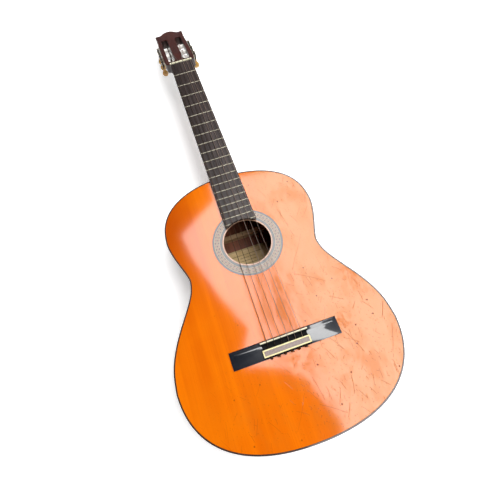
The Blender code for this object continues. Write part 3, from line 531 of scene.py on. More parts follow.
def lacquered_top():
    """Orange spruce under glossy lacquer, with dings, hairline scratches, stains and rubbed places."""
    look = Look("top_lacquer", {"Coat Roughness": 0.075, "Coat IOR": 1.57, "Specular IOR Level": 0.0})
    x, y, _ = look.parts(look.place)
    lines = look.grain((620, 3.0, 620), 3.0, 0.6)
    bands = look.grain((42, 1.6, 42), 3.0, 0.6, 0.3)
    clouds = look.noise(look.place, 9.0, 3.0, 0.6)
    colour = look.mix(look.span(bands, 0.3, 0.7), (0.78, 0.142, 0.0014), (0.92, 0.195, 0.0018))
    colour = look.mix(look.span(lines, 0.35, 0.7, 0.0, 0.35), colour, (0.71, 0.117, 0.0010))
    colour = look.mix(look.span(clouds, 0.45, 0.75, 0.0, 0.5), colour, (0.90, 0.213, 0.0024))
    colour = look.mix(look.span(x, 0.015, 0.075, 0.0, 0.85), colour, (0.64, 0.205, 0.016))
    shoulder = look.span(look.minus(y, look.times(x, 1.1)), 0.12, 0.30, 0.0, 0.9)
    shoulder = look.times(shoulder, look.span(x, -0.05, -0.12))
    colour = look.mix(shoulder, colour, (0.50, 0.070, 0.001))

    worn_side = look.span(look.plus(x, look.times(y, -0.35)), -0.10, 0.03, 0.12, 1.0)
    busy = look.span(look.noise(look.place, 7.0, 2.0), 0.38, 0.55, 0.30, 1.0)
    worn_side = look.times(worn_side, busy)
    scratch = look.hairlines(0.050, 0.066, 0.0008, 0.80)
    for cell, length, width, share in ((0.024, 0.026, 0.0008, 0.60), (0.011, 0.007, 0.0008, 0.35)):
        scratch = look.larger(scratch, look.hairlines(cell, length, width, share))
    scratch = look.times(scratch, worn_side)
    specks = look.larger(look.dots(0.0062, 0.0009, 0.35), look.dots(0.015, 0.0012, 0.35))
    specks = look.times(specks, worn_side)
    dings = look.times(look.dots(0.036, 0.0015, 0.35), worn_side)
    marks = look.larger(scratch, look.larger(look.times(specks, 0.6), dings))

    stain = look.span(look.grain((30, 16, 30), 6.0, 0.72), 0.48, 0.64, 0.0, 0.55)
    stain = look.times(stain, worn_side)
    flecks = look.span(look.noise(look.place, 75.0, 5.0, 0.75), 0.40, 0.60)
    for where, reach in (((0.100, -0.090), 0.034), ((0.012, -0.125), 0.055), ((0.160, -0.02), 0.055)):
        spot = look.span(look.distance((*where, TOP_Z)), reach, reach * 0.2)
        stain = look.larger(stain, look.times(spot, flecks))
    near_strings = look.span(look.off(x, 0.012), 0.015, 0.070, 1.0, 0.0)
    below_hole = look.span(look.off(y, -0.035), 0.045, 0.095, 1.0, 0.0)
    streaked = look.span(look.grain((60, 14, 60), 4.0, 0.75), 0.40, 0.62)
    rubbed = look.times(streaked, look.times(near_strings, below_hole))
    rubbed = look.larger(rubbed, stain)
    colour = look.mix(look.times(rubbed, 0.85), colour, (0.64, 0.160, 0.012))
    colour = look.mix(look.times(marks, 0.80), colour, (0.36, 0.066, 0.004))
    colour = look.mix(look.times(dings, 0.85), colour, (0.17, 0.025, 0.002))

    rim = look.span(look.distance((*HOLE_CENTRE, TOP_Z)), ROSETTE_INNER, ROSETTE_INNER - 0.0003)
    colour = look.mix(rim, colour, (0.62, 0.36, 0.25))
    smooth = look.bump(look.noise(look.place, 30.0, 2.0), 0.0002, 0.16)
    dulled = look.larger(marks, look.times(rubbed, 0.70))
    look.set({
        "Coat Weight": look.minus(1.0, dulled),
        "Coat Normal": look.bump(look.minus(1.0, marks), 0.00006, 0.3, smooth),
        "Base Color": colour,
        "Roughness": look.span(look.larger(marks, rubbed), 0.0, 1.0, 0.35, 0.65),
        "Normal": look.bump(lines, 0.00005, 0.3),
    })


def mosaic():
    """Rings of grey line, cream ground and small pink and brown diamonds round the soundhole."""
    look = Look("mosaic", {"Coat Weight": 1.0, "Coat Roughness": 0.12})
    x, y, _ = look.parts(look.from_place((*HOLE_CENTRE, 0.0)))
    radius = look.maths("POWER", look.plus(look.times(x, x), look.times(y, y)), 0.5)
    turn = look.maths("ARCTAN2", y, x)
    across = look.span(radius, ROSETTE_INNER, ROSETTE_OUTER)
    wave = look.maths("SINE", look.times(turn, 30.0))
    rows = look.maths("COSINE", look.times(look.minus(across, 0.53), 19.0))
    diamond = look.times(wave, rows)
    weave = look.maths("SINE", look.times(turn, 96.0))
    fine = look.times(weave, look.maths("SINE", look.times(across, 90.0)))
    cream = look.mix(look.span(fine, 0.1, 0.5, 0.0, 0.5), (0.25, 0.165, 0.085), (0.13, 0.085, 0.050))
    cream = look.mix(look.span(diamond, 0.45, 0.60), cream, (0.045, 0.010, 0.006))
    cream = look.mix(look.span(diamond, -0.50, -0.66), cream, (0.22, 0.055, 0.035))
    ramp = look.tree.nodes.new("ShaderNodeValToRGB")
    look.feed(ramp.inputs[0], across)
    ramp.color_ramp.interpolation = "CONSTANT"
    stops = tuple(zip((0.0, *ROSETTE_LINES), (1.0, 0.0, 0.5, 0.0, 1.0)))
    elements = ramp.color_ramp.elements
    for place, value in stops[2:]:
        elements.new(place)
    for element, (place, value) in zip(elements, stops):
        element.position = place
        element.color = (value, value, value, 1.0)
    kind = ramp.outputs[0]
    grey = look.mix(look.noise(look.place, 700.0), (0.020, 0.022, 0.024), (0.075, 0.078, 0.080))
    colour = look.mix(look.span(kind, 0.45, 0.5), (0.38, 0.27, 0.17), cream)
    colour = look.mix(look.span(kind, 0.9, 1.0), colour, grey)
    look.set({
        "Base Color": colour,
        "Roughness": look.span(look.noise(look.place, 400.0), 0.3, 0.7, 0.35, 0.55),
        "Normal": look.bump(kind, 0.00005, 0.3),
    })


def speckled(name, base, other, scale, sockets, rough=(0.3, 0.45), bump=0.00003):
    """A moulded or cast finish: two close colours in soft clouds, with a slightly uneven gloss."""
    look = Look(name, sockets)
    clouds = look.noise(look.place, scale, 4.0, 0.6, 0.5)
    fine = look.noise(look.place, scale * 9, 2.0)
    look.set({
        "Base Color": look.mix(look.span(clouds, 0.35, 0.65), base, other),
        "Roughness": look.span(fine, 0.3, 0.7, *rough),
        "Normal": look.bump(fine, bump, 0.4),
    })


def label_paper():
    """Aged cream paper with generic ruled lines and a border, and no lettering."""
    look = Look("label_paper", {"Specular IOR Level": 0.2})
    low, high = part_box("label")
    x, y, _ = look.parts(look.place)
    across = look.span(x, low.x, high.x)
    along = look.span(y, low.y, high.y)
    scaled = look.times(along, 11.0)
    line = look.maths("LESS_THAN", look.maths("FRACT", scaled), 0.16)
    row = look.maths("SINE", look.times(look.maths("FLOOR", scaled), 2.3))
    wide = look.maths("LESS_THAN", look.off(across, 0.5), look.span(row, -1.0, 1.0, 0.10, 0.34))
    tall = look.maths("LESS_THAN", look.off(along, 0.5), 0.40)
    ink = look.times(line, look.times(wide, tall))
    edge_x = look.maths("GREATER_THAN", look.off(across, 0.5), 0.465)
    edge_y = look.maths("GREATER_THAN", look.off(along, 0.5), 0.455)
    edge = look.larger(edge_x, edge_y)
    ink = look.larger(ink, look.times(edge, 0.35))
    age = look.noise(look.place, 60.0, 4.0, 0.6)
    paper = look.mix(look.span(age, 0.35, 0.7), (0.66, 0.50, 0.27), (0.50, 0.35, 0.16))
    look.set({
        "Base Color": look.mix(look.times(ink, 0.75), paper, (0.09, 0.06, 0.035)),
        "Roughness": look.span(age, 0.3, 0.7, 0.75, 0.9),
        "Normal": look.bump(look.noise(look.place, 900.0, 2.0), 0.00003, 0.4),
    })


def wound_string():
    """A string's fine metal winding: rings across it, a third of a millimetre apart, with painted shade in the
    grooves between them.
    """
    look = Look("wound_string", {"Metallic": 1.0})
    rings = look.maths("SINE", look.times(look.parts(look.place)[1], tau / 0.00034))
    tarnish = look.noise(look.place, 240.0, 3.0)
    colour = look.mix(look.span(tarnish, 0.35, 0.65), (0.055, 0.030, 0.018), (0.11, 0.068, 0.042))
    # Painted shade: the colour darkens in the grooves between the rings.
    colour = look.mix(look.span(rings, -0.2, -0.9, 0.0, 0.6), colour, (0.018, 0.011, 0.008))
    look.set({
        "Base Color": colour,
        "Roughness": look.span(tarnish, 0.3, 0.7, 0.35, 0.5),
        "Normal": look.bump(rings, 0.00006, 0.6),
    })


def make_looks():
    lacquered_top()
    mosaic()
    wood("mahogany", (0.12, 0.032, 0.014), (0.26, 0.085, 0.035), coat=0.7)
    wood("back_mahogany", (0.11, 0.028, 0.012), (0.23, 0.070, 0.028), (520, 8, 520), coat=0.6,
         strip=BACK_STRIP_HALF)
    wood("rib_mahogany", (0.11, 0.028, 0.012), (0.23, 0.070, 0.028), (10, 10, 620), coat=0.6)
    wood("inside_mahogany", (0.09, 0.024, 0.010), (0.18, 0.054, 0.022), (12, 900, 900))
    # The headstock's mahogany, darkened nearly to black: painted shade for the insides of its string slots.
    wood("head_mahogany_painted_shade", (0.012, 0.004, 0.003), (0.036, 0.012, 0.007), coat=0.4)
    wood("binding", (0.020, 0.008, 0.005), (0.055, 0.020, 0.011), coat=0.8, rough=(0.3, 0.5))
    wood("raw_spruce", (0.34, 0.21, 0.105), (0.52, 0.35, 0.20), (12, 700, 700), 0.1, (0.6, 0.8))
    label_paper()
    wood("head_veneer", (0.034, 0.006, 0.005), (0.085, 0.017, 0.011), coat=0.25, specular=0.15)
    wood("rosewood", (0.024, 0.016, 0.015), (0.074, 0.054, 0.050), (520, 9, 520), 0.9, (0.34, 0.50),
         specular=0.34)
    speckled("bone", (0.90, 0.86, 0.64), (0.82, 0.76, 0.52), 260.0, {"Coat Weight": 0.4})
    speckled("ebonised_matte", (0.006, 0.006, 0.007), (0.013, 0.012, 0.012), 180.0,
             {"Specular IOR Level": 0.08}, (0.6, 0.8))
    speckled("ebonised", (0.005, 0.007, 0.014), (0.011, 0.014, 0.022), 180.0,
             {"Coat Weight": 1.0, "Coat Roughness": 0.08, "Coat IOR": 1.75}, (0.3, 0.5))
    speckled("plated_metal", (0.62, 0.53, 0.40), (0.50, 0.42, 0.31), 300.0, {"Metallic": 1.0})
    speckled("fret_metal", (0.36, 0.33, 0.26), (0.26, 0.24, 0.19), 500.0, {"Metallic": 1.0}, (0.35, 0.5))
    speckled("dark_metal", (0.055, 0.050, 0.048), (0.11, 0.10, 0.09), 300.0, {"Metallic": 1.0}, (0.35, 0.55))
    speckled("white_plastic", (0.93, 0.91, 0.86), (0.86, 0.83, 0.77), 260.0, {"Coat Weight": 0.15})
    speckled("amber_plastic", (0.60, 0.33, 0.055), (0.40, 0.20, 0.035), 190.0,
             {"Coat Weight": 0.8, "Subsurface Weight": 0.15, "Subsurface Scale": 0.003})
    speckled("panel_veneer", (0.15, 0.095, 0.080), (0.25, 0.165, 0.135), 500.0, {"Coat Weight": 0.35})
    speckled("yellow_bone", (0.86, 0.76, 0.36), (0.74, 0.62, 0.26), 260.0, {"Coat Weight": 0.4})
    wound_string()
    speckled("nylon_string", (0.32, 0.23, 0.185), (0.26, 0.185, 0.15), 90.0,
             {"Transmission Weight": 0.45, "IOR": 1.4, "Specular IOR Level": 0.3}, (0.28, 0.38))
    speckled("nylon_coil", (0.86, 0.78, 0.74), (0.74, 0.62, 0.58), 200.0, {"Coat Weight": 0.3})


# ---- body


def plate_outline():
    """The soundboard's outer edge, anticlockwise, refined along a smooth curve through its corners."""
    corners = {}
    for vertex in frame["nodes"]["soundboard"].data.vertices:
        place = vertex.co.xy
        if vertex.co.z > TOP_Z - GAP and (place - HOLE_CENTRE).length > ROSETTE_OUTER + 2 * GAP:
            corners[(round(place.x, 5), round(place.y, 5))] = Vector(place)
    middle = Vector((0.0, BODY_MIDDLE_Y))
    ring = sorted(corners.values(), key=lambda p: atan2(*(p - middle).yx))
    finer = []
    count = len(ring)
    for i in range(count):
        a, b, c, d = (ring[(i + k) % count] for k in (-1, 0, 1, 2))
        for step in range(4):
            t = step / 4
            bend = (a * -1 + c) * t + (a * 2 - b * 5 + c * 4 - d) * t**2 + (a * -1 + b * 3 - c * 3 + d) * t**3
            finer.append(b + bend / 2)
    return finer


def moved_in(loop, distance):
    """A loop moved inwards; a negative distance moves it out."""
    moved = []
    count = len(loop)
    for i, place in enumerate(loop):
        along = (loop[(i + 1) % count] - loop[i - 1]).normalized()
        moved.append(place + Vector((-along.y, along.x)) * distance)
    return moved


PLATE_EDGE = plate_outline()
BODY_EDGE = moved_in(PLATE_EDGE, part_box("soundboard")[1].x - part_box("top_binding")[1].x)


def swept(profile):
    """A closed ring round the body, from (inset, height) pairs of its section."""
    return closed_loft([[(p.x, p.y, z) for p in moved_in(BODY_EDGE, inset)] for inset, z in profile])


def make_soundboard():
    """The plate with its soundhole and the rosette's groove."""
    low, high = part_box("soundboard")
    clear = GAP / 3
    top = build("soundboard_lacquered", [prism([tuple(p) for p in PLATE_EDGE], low.z, high.z)])
    cut(top, [hole_cutter(HOLE_RADIUS, low.z - 0.01, high.z + 0.01)])
    outer, inner = ROSETTE_OUTER + clear, ROSETTE_INNER - clear
    floor_z, over_z = ROSETTE_LOW.z - clear, high.z + 0.01
    cut(top, [hole_ring([(outer, floor_z), (outer, over_z), (inner, over_z), (inner, floor_z)])])
    dress(top, "top_lacquer", stands_for=["soundboard"], bevel=0.0002)


def make_rosette():
    """A flat ring with a fine groove at each change of its pattern."""
    section = [(ROSETTE_INNER, ROSETTE_LOW.z), (ROSETTE_INNER, ROSETTE_HIGH.z)]
    for share in ROSETTE_LINES:
        line = ROSETTE_INNER + (ROSETTE_OUTER - ROSETTE_INNER) * share
        for offset, depth in ((-ROSETTE_GROOVE, 0.0), (0.0, ROSETTE_GROOVE), (ROSETTE_GROOVE, 0.0)):
            section.append((line + offset, ROSETTE_HIGH.z - depth))
    section += [(ROSETTE_OUTER, ROSETTE_HIGH.z), (ROSETTE_OUTER, ROSETTE_LOW.z)]
    dress(build("rosette_inlay", [hole_ring(section)]), "mosaic", stands_for=["rosette"])


def make_back():
    low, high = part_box("back_plate")
    back = build("back_panel", [prism([tuple(p) for p in PLATE_EDGE], low.z, high.z)])
    dress(back, "back_mahogany", stands_for=["back_plate"], bevel=0.0002)


def make_bindings(thick):
    """The strips round both edges, each with its outer corner rounded."""
    soft = BINDING_ROUNDING
    for name, outward in (("top_binding", 1), ("back_binding", -1)):
        low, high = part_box(name)
        outer, inner = (high.z, low.z) if outward > 0 else (low.z, high.z)
        profile = [(thick, inner), (0.0, inner)]
        profile += [(soft * (1 - c), outer - outward * soft * (1 - s)) for c, s in arc(pi / 2, 4)]
        profile.append((thick, outer))
        dress(build(f"{name}_strip", [swept(profile)]), "binding", stands_for=[name], angle=40)


def make_ribs(thick):
    """Each rib runs along its half of the body's edge and stops just short of the middle line."""
    low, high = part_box("rib_treble")
    inner_edge = moved_in(BODY_EDGE, thick)
    for name, side in (("rib_bass", -1), ("rib_treble", 1)):
        chosen = [(a, b) for a, b in zip(BODY_EDGE, inner_edge) if side * a.x > GAP / 3]
        chosen.sort(key=lambda pair: atan2(pair[0].y - BODY_MIDDLE_Y, abs(pair[0].x)))
        first, last = ([Vector((side * GAP / 2, p.y)) for p in chosen[place]] for place in (0, -1))
        heights = (low.z, high.z, high.z, low.z)
        rings = [[(p.x, p.y, z) for p, z in zip((a, a, b, b), heights)] for a, b in [first, *chosen, last]]
        dress(build(f"{name}_polished", [loft(rings)]), "rib_mahogany", stands_for=[name])


def make_body():
    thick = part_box("top_binding")[1].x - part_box("soundboard")[1].x - GAP
    make_soundboard()
    make_rosette()
    make_back()
    make_bindings(thick)
    make_ribs(thick)


def dress_node(name, look):
    """A CAD node that stays as it is, with a material of its own."""
    node = frame["nodes"][name]
    node.data.materials.clear()
    node.data.materials.append(LOOKS[look])
    return node


def make_inside():
    braces = [f"{kind}_brace_{number}" for number in (1, 2, 3) for kind in ("back", "fan")]
    for name in ["top_lining", "back_lining", "harmonic_bar_upper", "harmonic_bar_lower"] + braces:
        dress_node(name, "raw_spruce")
    for name in ("tail_block", "neck_block"):
        dress_node(name, "inside_mahogany")
    dress_node("label", "label_paper")


# ---- neck


def board_half(y):
    """Half the fingerboard's width at y."""
    share = (NUT_Y - y) / (NUT_Y - BOARD_LOW.y)
    return NUT_HIGH.x + (BOARD_HIGH.x - NUT_HIGH.x) * share


def fret_y(number):
    return NUT_Y - SCALE * (1 - 2 ** (-number / 12))


def neck_ring(y, depth, heel, floor, lean=0.0):
    """One section across the neck: flat on top and rounded below. heel, from 0 to 1, narrows it downwards."""
    ring = []
    for cosine, sine in arc(pi, 48):
        x = board_half(y) * cosine * (1 - HEEL_NARROWING * heel * sine**2)
        z = max(TOP_Z - depth * sine**NECK_ROUNDNESS, floor)
        ring.append((x, y - lean * (TOP_Z - z), z))
    return ring


def make_neck():
    low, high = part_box("neck")
    full = TOP_Z + 0.006
    cap_end = low.y + HEEL_CAP_LENGTH
    rings = [neck_ring(low.y, full, 1.0, low.z), neck_ring(cap_end, full, 1.0, low.z)]
    steps = 28
    for i in range(1, steps + 1):
        share = (i / steps) ** 2
        deep = 1 - sqrt(1 - (1 - share) ** 2)
        depth = NECK_DEPTH_BODY + (full - NECK_DEPTH_BODY) * deep
        rings.append(neck_ring(cap_end + HEEL_CURVE_LENGTH * share, depth, deep, low.z))
    rings.append(neck_ring(high.y, NECK_DEPTH_NUT, 0.0, low.z, tan(HEAD_TILT)))
    dress(build("neck_carved", [loft(rings)]), "mahogany", stands_for=["neck"], angle=50)


def make_fingerboard():
    """The board with rounded long edges, its end following the soundhole."""
    low_z = BOARD_LOW.z
    top_z = BOARD_HIGH.z - FRET_HEIGHT
    rings = []
    for y in (BOARD_LOW.y, BOARD_HIGH.y):
        half = board_half(y)
        edge = [(half, low_z)]
        for cosine, sine in arc(pi / 2, 5):
            edge.append((half - BOARD_ROUNDING * (1 - cosine), top_z - BOARD_ROUNDING * (1 - sine)))
        rings.append([(x, y, z) for x, z in edge] + [(-x, y, z) for x, z in reversed(edge)])
    board = build("fingerboard_board", [loft(rings)])
    clear = HOLE_RADIUS + GAP
    cut(board, [hole_cutter(clear, low_z - 0.01, top_z + 0.01)])
    dress(board, "rosewood", stands_for=["fingerboard"])
    for number in range(1, FRET_COUNT + 1):
        fret = build(f"fret_{number:02d}", [fret_wire(fret_y(number), top_z)])
        if fret_y(number) < HOLE_CENTRE.y + clear:
            cut(fret, [hole_cutter(clear + GAP, low_z, top_z + 0.01)])
        dress(fret, "fret_metal")


def fret_wire(y, base_z):
    """A domed wire across the board, its ends sloped inwards."""
    half = board_half(y) - GAP
    rings = []
    for side in (-1, 1):
        ring = [(side * half, y - FRET_HALF, base_z - FRET_ROOT), (side * half, y - FRET_HALF, base_z)]
        for cosine, sine in arc(pi, 10)[1:-1]:
            up = FRET_HEIGHT * sine**0.8
            ring.append((side * (half - 0.7 * up), y - FRET_HALF * cosine, base_z + up))
        ring += [(side * half, y + FRET_HALF, base_z), (side * half, y + FRET_HALF, base_z - FRET_ROOT)]
        rings.append(ring)
    return loft(rings)


def make_nut():
    """The nut stands a little proud between its string slots."""
    low, high = NUT_LOW, NUT_HIGH
    top = high.z + NUT_CROWN
    profile = [(low.y, low.z), (low.y, top - 0.0004), (low.y + 0.0004, top), (low.y + 0.0028, top)]
    profile += [(high.y - 0.0008, top - 0.0006), (high.y, top - 0.0020), (high.y, low.z)]
    nut = build("nut_slotted", [drawn_out(profile, low.x, high.x)])
    cut(nut, [sloped_slot(string_x(n, STRING_SPREAD_NUT), STRING_RADII[n - 1] + 0.00012) for n in NUMBERS])
    dress(nut, "bone", stands_for=["nut"], bevel=0.00025)


def sloped_slot(x, wide):
    """A cutter for one nut slot, flat over the crown and falling towards the head."""
    y, z = NUT_LOW.y, NUT_HIGH.z + 0.0001
    line = [(y - 0.005, z), (y + 0.0012, z), (NUT_HIGH.y + 0.005, z - 0.0062), (NUT_HIGH.y + 0.005, z + 0.01)]
    line.append((y - 0.005, z + 0.01))
    return drawn_out(line, x - wide, x + wide)


# ---- bridge


def make_bridge():
    low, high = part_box("bridge")
    saddle_low, saddle_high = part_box("saddle")
    inlay_low, inlay_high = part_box("tie_block_inlay")
    saddle_y = (saddle_low.y + saddle_high.y) / 2
    middle = saddle_high.x + GAP
    tie_z = inlay_low.z - GAP
    channel_z = low.z + CHANNEL_HEIGHT
    ridge_back = saddle_y - 0.0030
    front_tie, back_tie = inlay_high.y + 0.0002, inlay_low.y - 0.0002
    section = [(high.y, low.z)]
    for cosine, sine in arc(pi / 2, 5):
        section.append((high.y - BRIDGE_ROUNDING[0] * (1 - cosine), high.z - BRIDGE_ROUNDING[1] * (1 - sine)))
    section += [(ridge_back, high.z), (ridge_back, channel_z), (front_tie, channel_z), (front_tie, tie_z)]
    section += [(back_tie, tie_z), (back_tie, channel_z), (low.y, channel_z), (low.y, low.z)]
    bridge = build("bridge_carved", [drawn_out(section, -middle, middle)])
    for side in (-1, 1):
        cut(bridge, [bridge_wing(side, low, high, middle)], "UNION")
        end = Vector((high.x, low.z + WING_TIP_HEIGHT))
        start = Vector((high.x - WING_SCOOP_LENGTH, low.z + WING_HEIGHT))
        chord = end - start
        rise = sqrt(WING_SCOOP_RADIUS**2 - chord.length_squared / 4)
        centre = (start + end) / 2 + Vector((-chord.y, chord.x)).normalized() * rise
        places = [(side * centre.x, y, centre.y) for y in (low.y - 0.01, high.y + 0.01)]
        cut(bridge, [rod(*places, WING_SCOOP_RADIUS, 192)])
    slot_low = (saddle_low.x - GAP, saddle_low.y - GAP, saddle_low.z - GAP)
    cut(bridge, [box(slot_low, (saddle_high.x + GAP, saddle_high.y + GAP, high.z + 0.01))])
    hole_z = low.z + TIE_HOLE_HEIGHT
    holes = []
    for number in NUMBERS:
        x = string_x(number, STRING_SPREAD_SADDLE)
        holes.append(rod((x, front_tie + 0.001, hole_z), (x, back_tie - 0.001, hole_z), TIE_HOLE_RADIUS))
    cut(bridge, holes)
    dress(bridge, "ebonised", stands_for=["bridge"], bevel=0.0003)
    bridge.data.materials.append(LOOKS["ebonised_matte"])
    for face in bridge.data.polygons:
        if abs(face.center.x) < middle + GAP and face.center.y < saddle_low.y + GAP / 3:
            face.material_index = 1
    make_saddle(saddle_low, saddle_high)
    make_inlay(inlay_low, inlay_high)


def make_saddle(low, high):
    half = (high.y - low.y) / 2
    middle = low.y + half
    section = [(middle + half * c, high.z - half * (1 - s)) for c, s in arc(pi, 8)]
    bar = drawn_out([(high.y, low.z)] + section + [(low.y, low.z)], low.x, high.x)
    dress(build("saddle_rounded", [bar]), "bone", stands_for=["saddle"], bevel=0.0002)


def make_inlay(low, high):
    """A pale border round a veneer panel, which lies a little lower."""
    rings = []
    for inset, z in ((0.0, low.z), (0.0, high.z), (INLAY_BORDER, high.z), (INLAY_BORDER, low.z)):
        start_x, end_x = low.x + inset, high.x - inset
        start_y, end_y = low.y + inset, high.y - inset
        rings.append([(start_x, start_y, z), (end_x, start_y, z), (end_x, end_y, z), (start_x, end_y, z)])
    border = build("tie_block_border", [closed_loft(rings)])
    dress(border, "yellow_bone", stands_for=["tie_block_inlay"], bevel=0.0002)
    edge = Vector((INLAY_BORDER + 0.00005, INLAY_BORDER + 0.00005, 0.0))
    panel = box(low + edge, high - edge - Vector((0.0, 0.0, 0.0001)))
    dress(build("tie_block_panel", [panel]), "panel_veneer", bevel=0.0001)


def bridge_wing(side, low, high, middle):
    """A wing with a ridge towards its front and a long slope to its back edge."""
    ridge_y = high.y - WING_RIDGE_BACK
    near_ridge = WING_HEIGHT - 0.0004
    section = [(high.y, 0.0), (high.y, 0.0022), (high.y - 0.0012, 0.0031), (ridge_y + 0.0020, near_ridge)]
    section += [(ridge_y, WING_HEIGHT), (ridge_y - 0.0035, near_ridge), (low.y + 0.001, 0.0024)]
    section += [(low.y, 0.0019), (low.y, 0.0)]
    section = [(y, low.z + z) for y, z in section]
    return drawn_out(section, side * (middle - 0.002), side * high.x)


# ---- strings


def string_x(number, spread):
    return spread / 2 - spread * (number - 1) / 5


def tuner_of(number):
    """The side of the head that a string's tuner is on, and its row counted from the nut."""
    return (1, number - 1) if number <= 3 else (-1, 6 - number)


def rounded_route(corners, reach, steps=8):
    """A line through the corners, each inner one rounded off over reach on both sides."""
    route = [corners[0]]
    for before, corner, after in zip(corners, corners[1:], corners[2:]):
        start = corner + (before - corner).normalized() * reach
        end = corner + (after - corner).normalized() * reach
        for i in range(steps + 1):
            t = i / steps
            route.append(start * (1 - t) ** 2 + corner * (2 * t * (1 - t)) + end * t**2)
    return route + [corners[-1]]


def make_string(number):
    radius = STRING_RADII[number - 1]
    side, row = tuner_of(number)
    saddle_x = string_x(number, STRING_SPREAD_SADDLE)
    nut_x = string_x(number, STRING_SPREAD_NUT)
    saddle_low, saddle_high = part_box("saddle")
    inlay_low, inlay_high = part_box("tie_block_inlay")
    hole_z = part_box("bridge")[0].z + TIE_HOLE_HEIGHT
    axle = axis_place(f"spool_{number}")
    around = ROLLER_RADIUS + GAP + radius
    over = GAP + radius + ROUNDING_DIP
    landing = Vector((side * STRING_LANDINGS[row], axle.y, axle.z))
    corners = [
        Vector((saddle_x, inlay_low.y - 0.0006, hole_z)),
        Vector((saddle_x, inlay_high.y + 0.0005, hole_z)),
        Vector((saddle_x, (saddle_low.y + saddle_high.y) / 2, saddle_high.z + over)),
        Vector((nut_x, NUT_Y + STRING_BEND_REACH, NUT_HIGH.z + over)),
        HEAD @ (landing + Vector((0.0, 0.0, around))),
    ]
    look = "nylon_string" if number <= 3 else "wound_string"
    coil_look = "nylon_coil" if number <= 3 else look
    route = rounded_route(corners, STRING_BEND_REACH)
    tube(f"string_{number}_line", route, radius, look, stands_for=[f"string_{number}"])
    coil = winding(landing, around, side * (2 * radius + 0.00012))
    tube(f"string_{number}_winding", coil, radius, coil_look, f"spool_{number}")
    lean = 0.0014 if number % 2 else -0.0010
    knot = knot_route(Vector((saddle_x, inlay_low.y - KNOT_HALF, hole_z)), lean)
    tube(f"string_{number}_knot", knot, KNOT_RADIUS, "wound_string")


def winding(landing, around, pitch):
    """A string's turns round its roller from where it lands, and its end, tucked inwards."""
    coil = []
    steps = int(WINDING_TURNS * 28)
    for i, (cosine, sine) in enumerate(arc(tau * WINDING_TURNS, steps)):
        coil.append(landing + Vector((-pitch * WINDING_TURNS * i / steps, around * sine, around * cosine)))
    end = coil[-1] - landing
    coil.append(landing + Vector((end.x, 0.75 * end.y, 0.75 * end.z)))
    return [HEAD @ place for place in coil]


def knot_route(middle, lean):
    """A loop behind the tie block, with a short tail that leans to one side."""
    steps = 30
    knot = []
    for i, (cosine, sine) in enumerate(arc(tau * KNOT_TURNS, steps)):
        lift = KNOT_RADIUS * 2.2 * (i / steps - 0.5)
        back = KNOT_HALF * 0.7 * (1 - cosine) - lift
        knot.append(middle + Vector((KNOT_HALF * sine, -back, KNOT_HALF * 0.8 * cosine)))
    tail = [knot[-1] + Vector((lean * t, -0.0024 * t, -0.0008 * t * t)) for t in (0.3, 0.65, 1.0)]
    return knot + tail


# ---- head


def head_outline():
    """The head's outline in its own frame, anticlockwise from the nut's treble corner."""
    neck_end, shoulder = (HEAD_NUT_HALF, 0.0), (HEAD_HALF, 0.014)
    flank, flank_end = (HEAD_HALF, 0.135), (HEAD_TOP_HALF, 0.1715)
    corner, tip = (HEAD_CORNER, HEAD_CORNER_Y), (0.0, HEAD_TIP_Y)
    half = bezier(neck_end, (HEAD_NUT_HALF, 0.008), (HEAD_HALF, 0.004), shoulder, 16) + [shoulder]
    half += bezier(flank, (HEAD_HALF, 0.155), (HEAD_TOP_HALF, 0.160), flank_end, 10)
    half += bezier(flank_end, (HEAD_TOP_HALF, 0.1755), (0.0358, HEAD_CORNER_Y), corner, 8)
    half += bezier(corner, (0.0315, 0.1757), (0.0290, HEAD_CREST_FOOT[1]), HEAD_CREST_FOOT, 6)
    half += bezier(HEAD_CREST_FOOT, (0.0165, HEAD_CREST_FOOT[1]), (0.0160, HEAD_TIP_Y), tip, 28)
    return [*half, tip] + [(-x, y) for x, y in reversed(half)]


def slot_loop(side):
    """A slot with round ends."""
    radius = SLOT_WIDTH / 2
    centre_x = abs(axis_place("spool_1").x)
    loop = []
    for centre_y, start in ((SLOT_SPAN[0] + radius, pi), (SLOT_SPAN[1] - radius, 0.0)):
        for i in range(25):
            turn = start + pi * i / 24
            loop.append((side * centre_x + radius * cos(turn), centre_y + radius * sin(turn)))
    return loop


def make_head():
    slots = [prism(slot_loop(side), -HEAD_THICK - 0.01, 0.01) for side in (-1, 1)]
    stock = build("headstock_slotted", [prism(head_outline(), -HEAD_THICK, -VENEER_THICK)])
    cut(stock, slots)
    bores = []
    for number in NUMBERS:
        side = tuner_of(number)[0]
        axle = axis_place(f"spool_{number}")
        start = (side * (ROLLER_INNER_X - GAP), axle.y, axle.z)
        bores.append(rod(start, (side * 0.045, axle.y, axle.z), ROLLER_RADIUS + GAP, 32))
    cut(stock, bores)
    stock.data.transform(HEAD)
    # The stock is painted near black, as painted shade in its slots.
    dress(stock, "head_mahogany_painted_shade", stands_for=["headstock"], bevel=0.0005)
    veneer = build("head_veneer_slotted", [prism(head_outline(), -VENEER_THICK + 0.00002, 0.0)])
    cut(veneer, slots)
    veneer.data.transform(HEAD)
    dress(veneer, "head_veneer", stands_for=["head_veneer"], bevel=0.0004)


# ---- tuning machines


def across_head(place):
    """A frame at a head place whose Z axis runs along +X."""
    return Matrix.Translation(Vector(place)) @ Matrix.Rotation(pi / 2, 4, "Y")


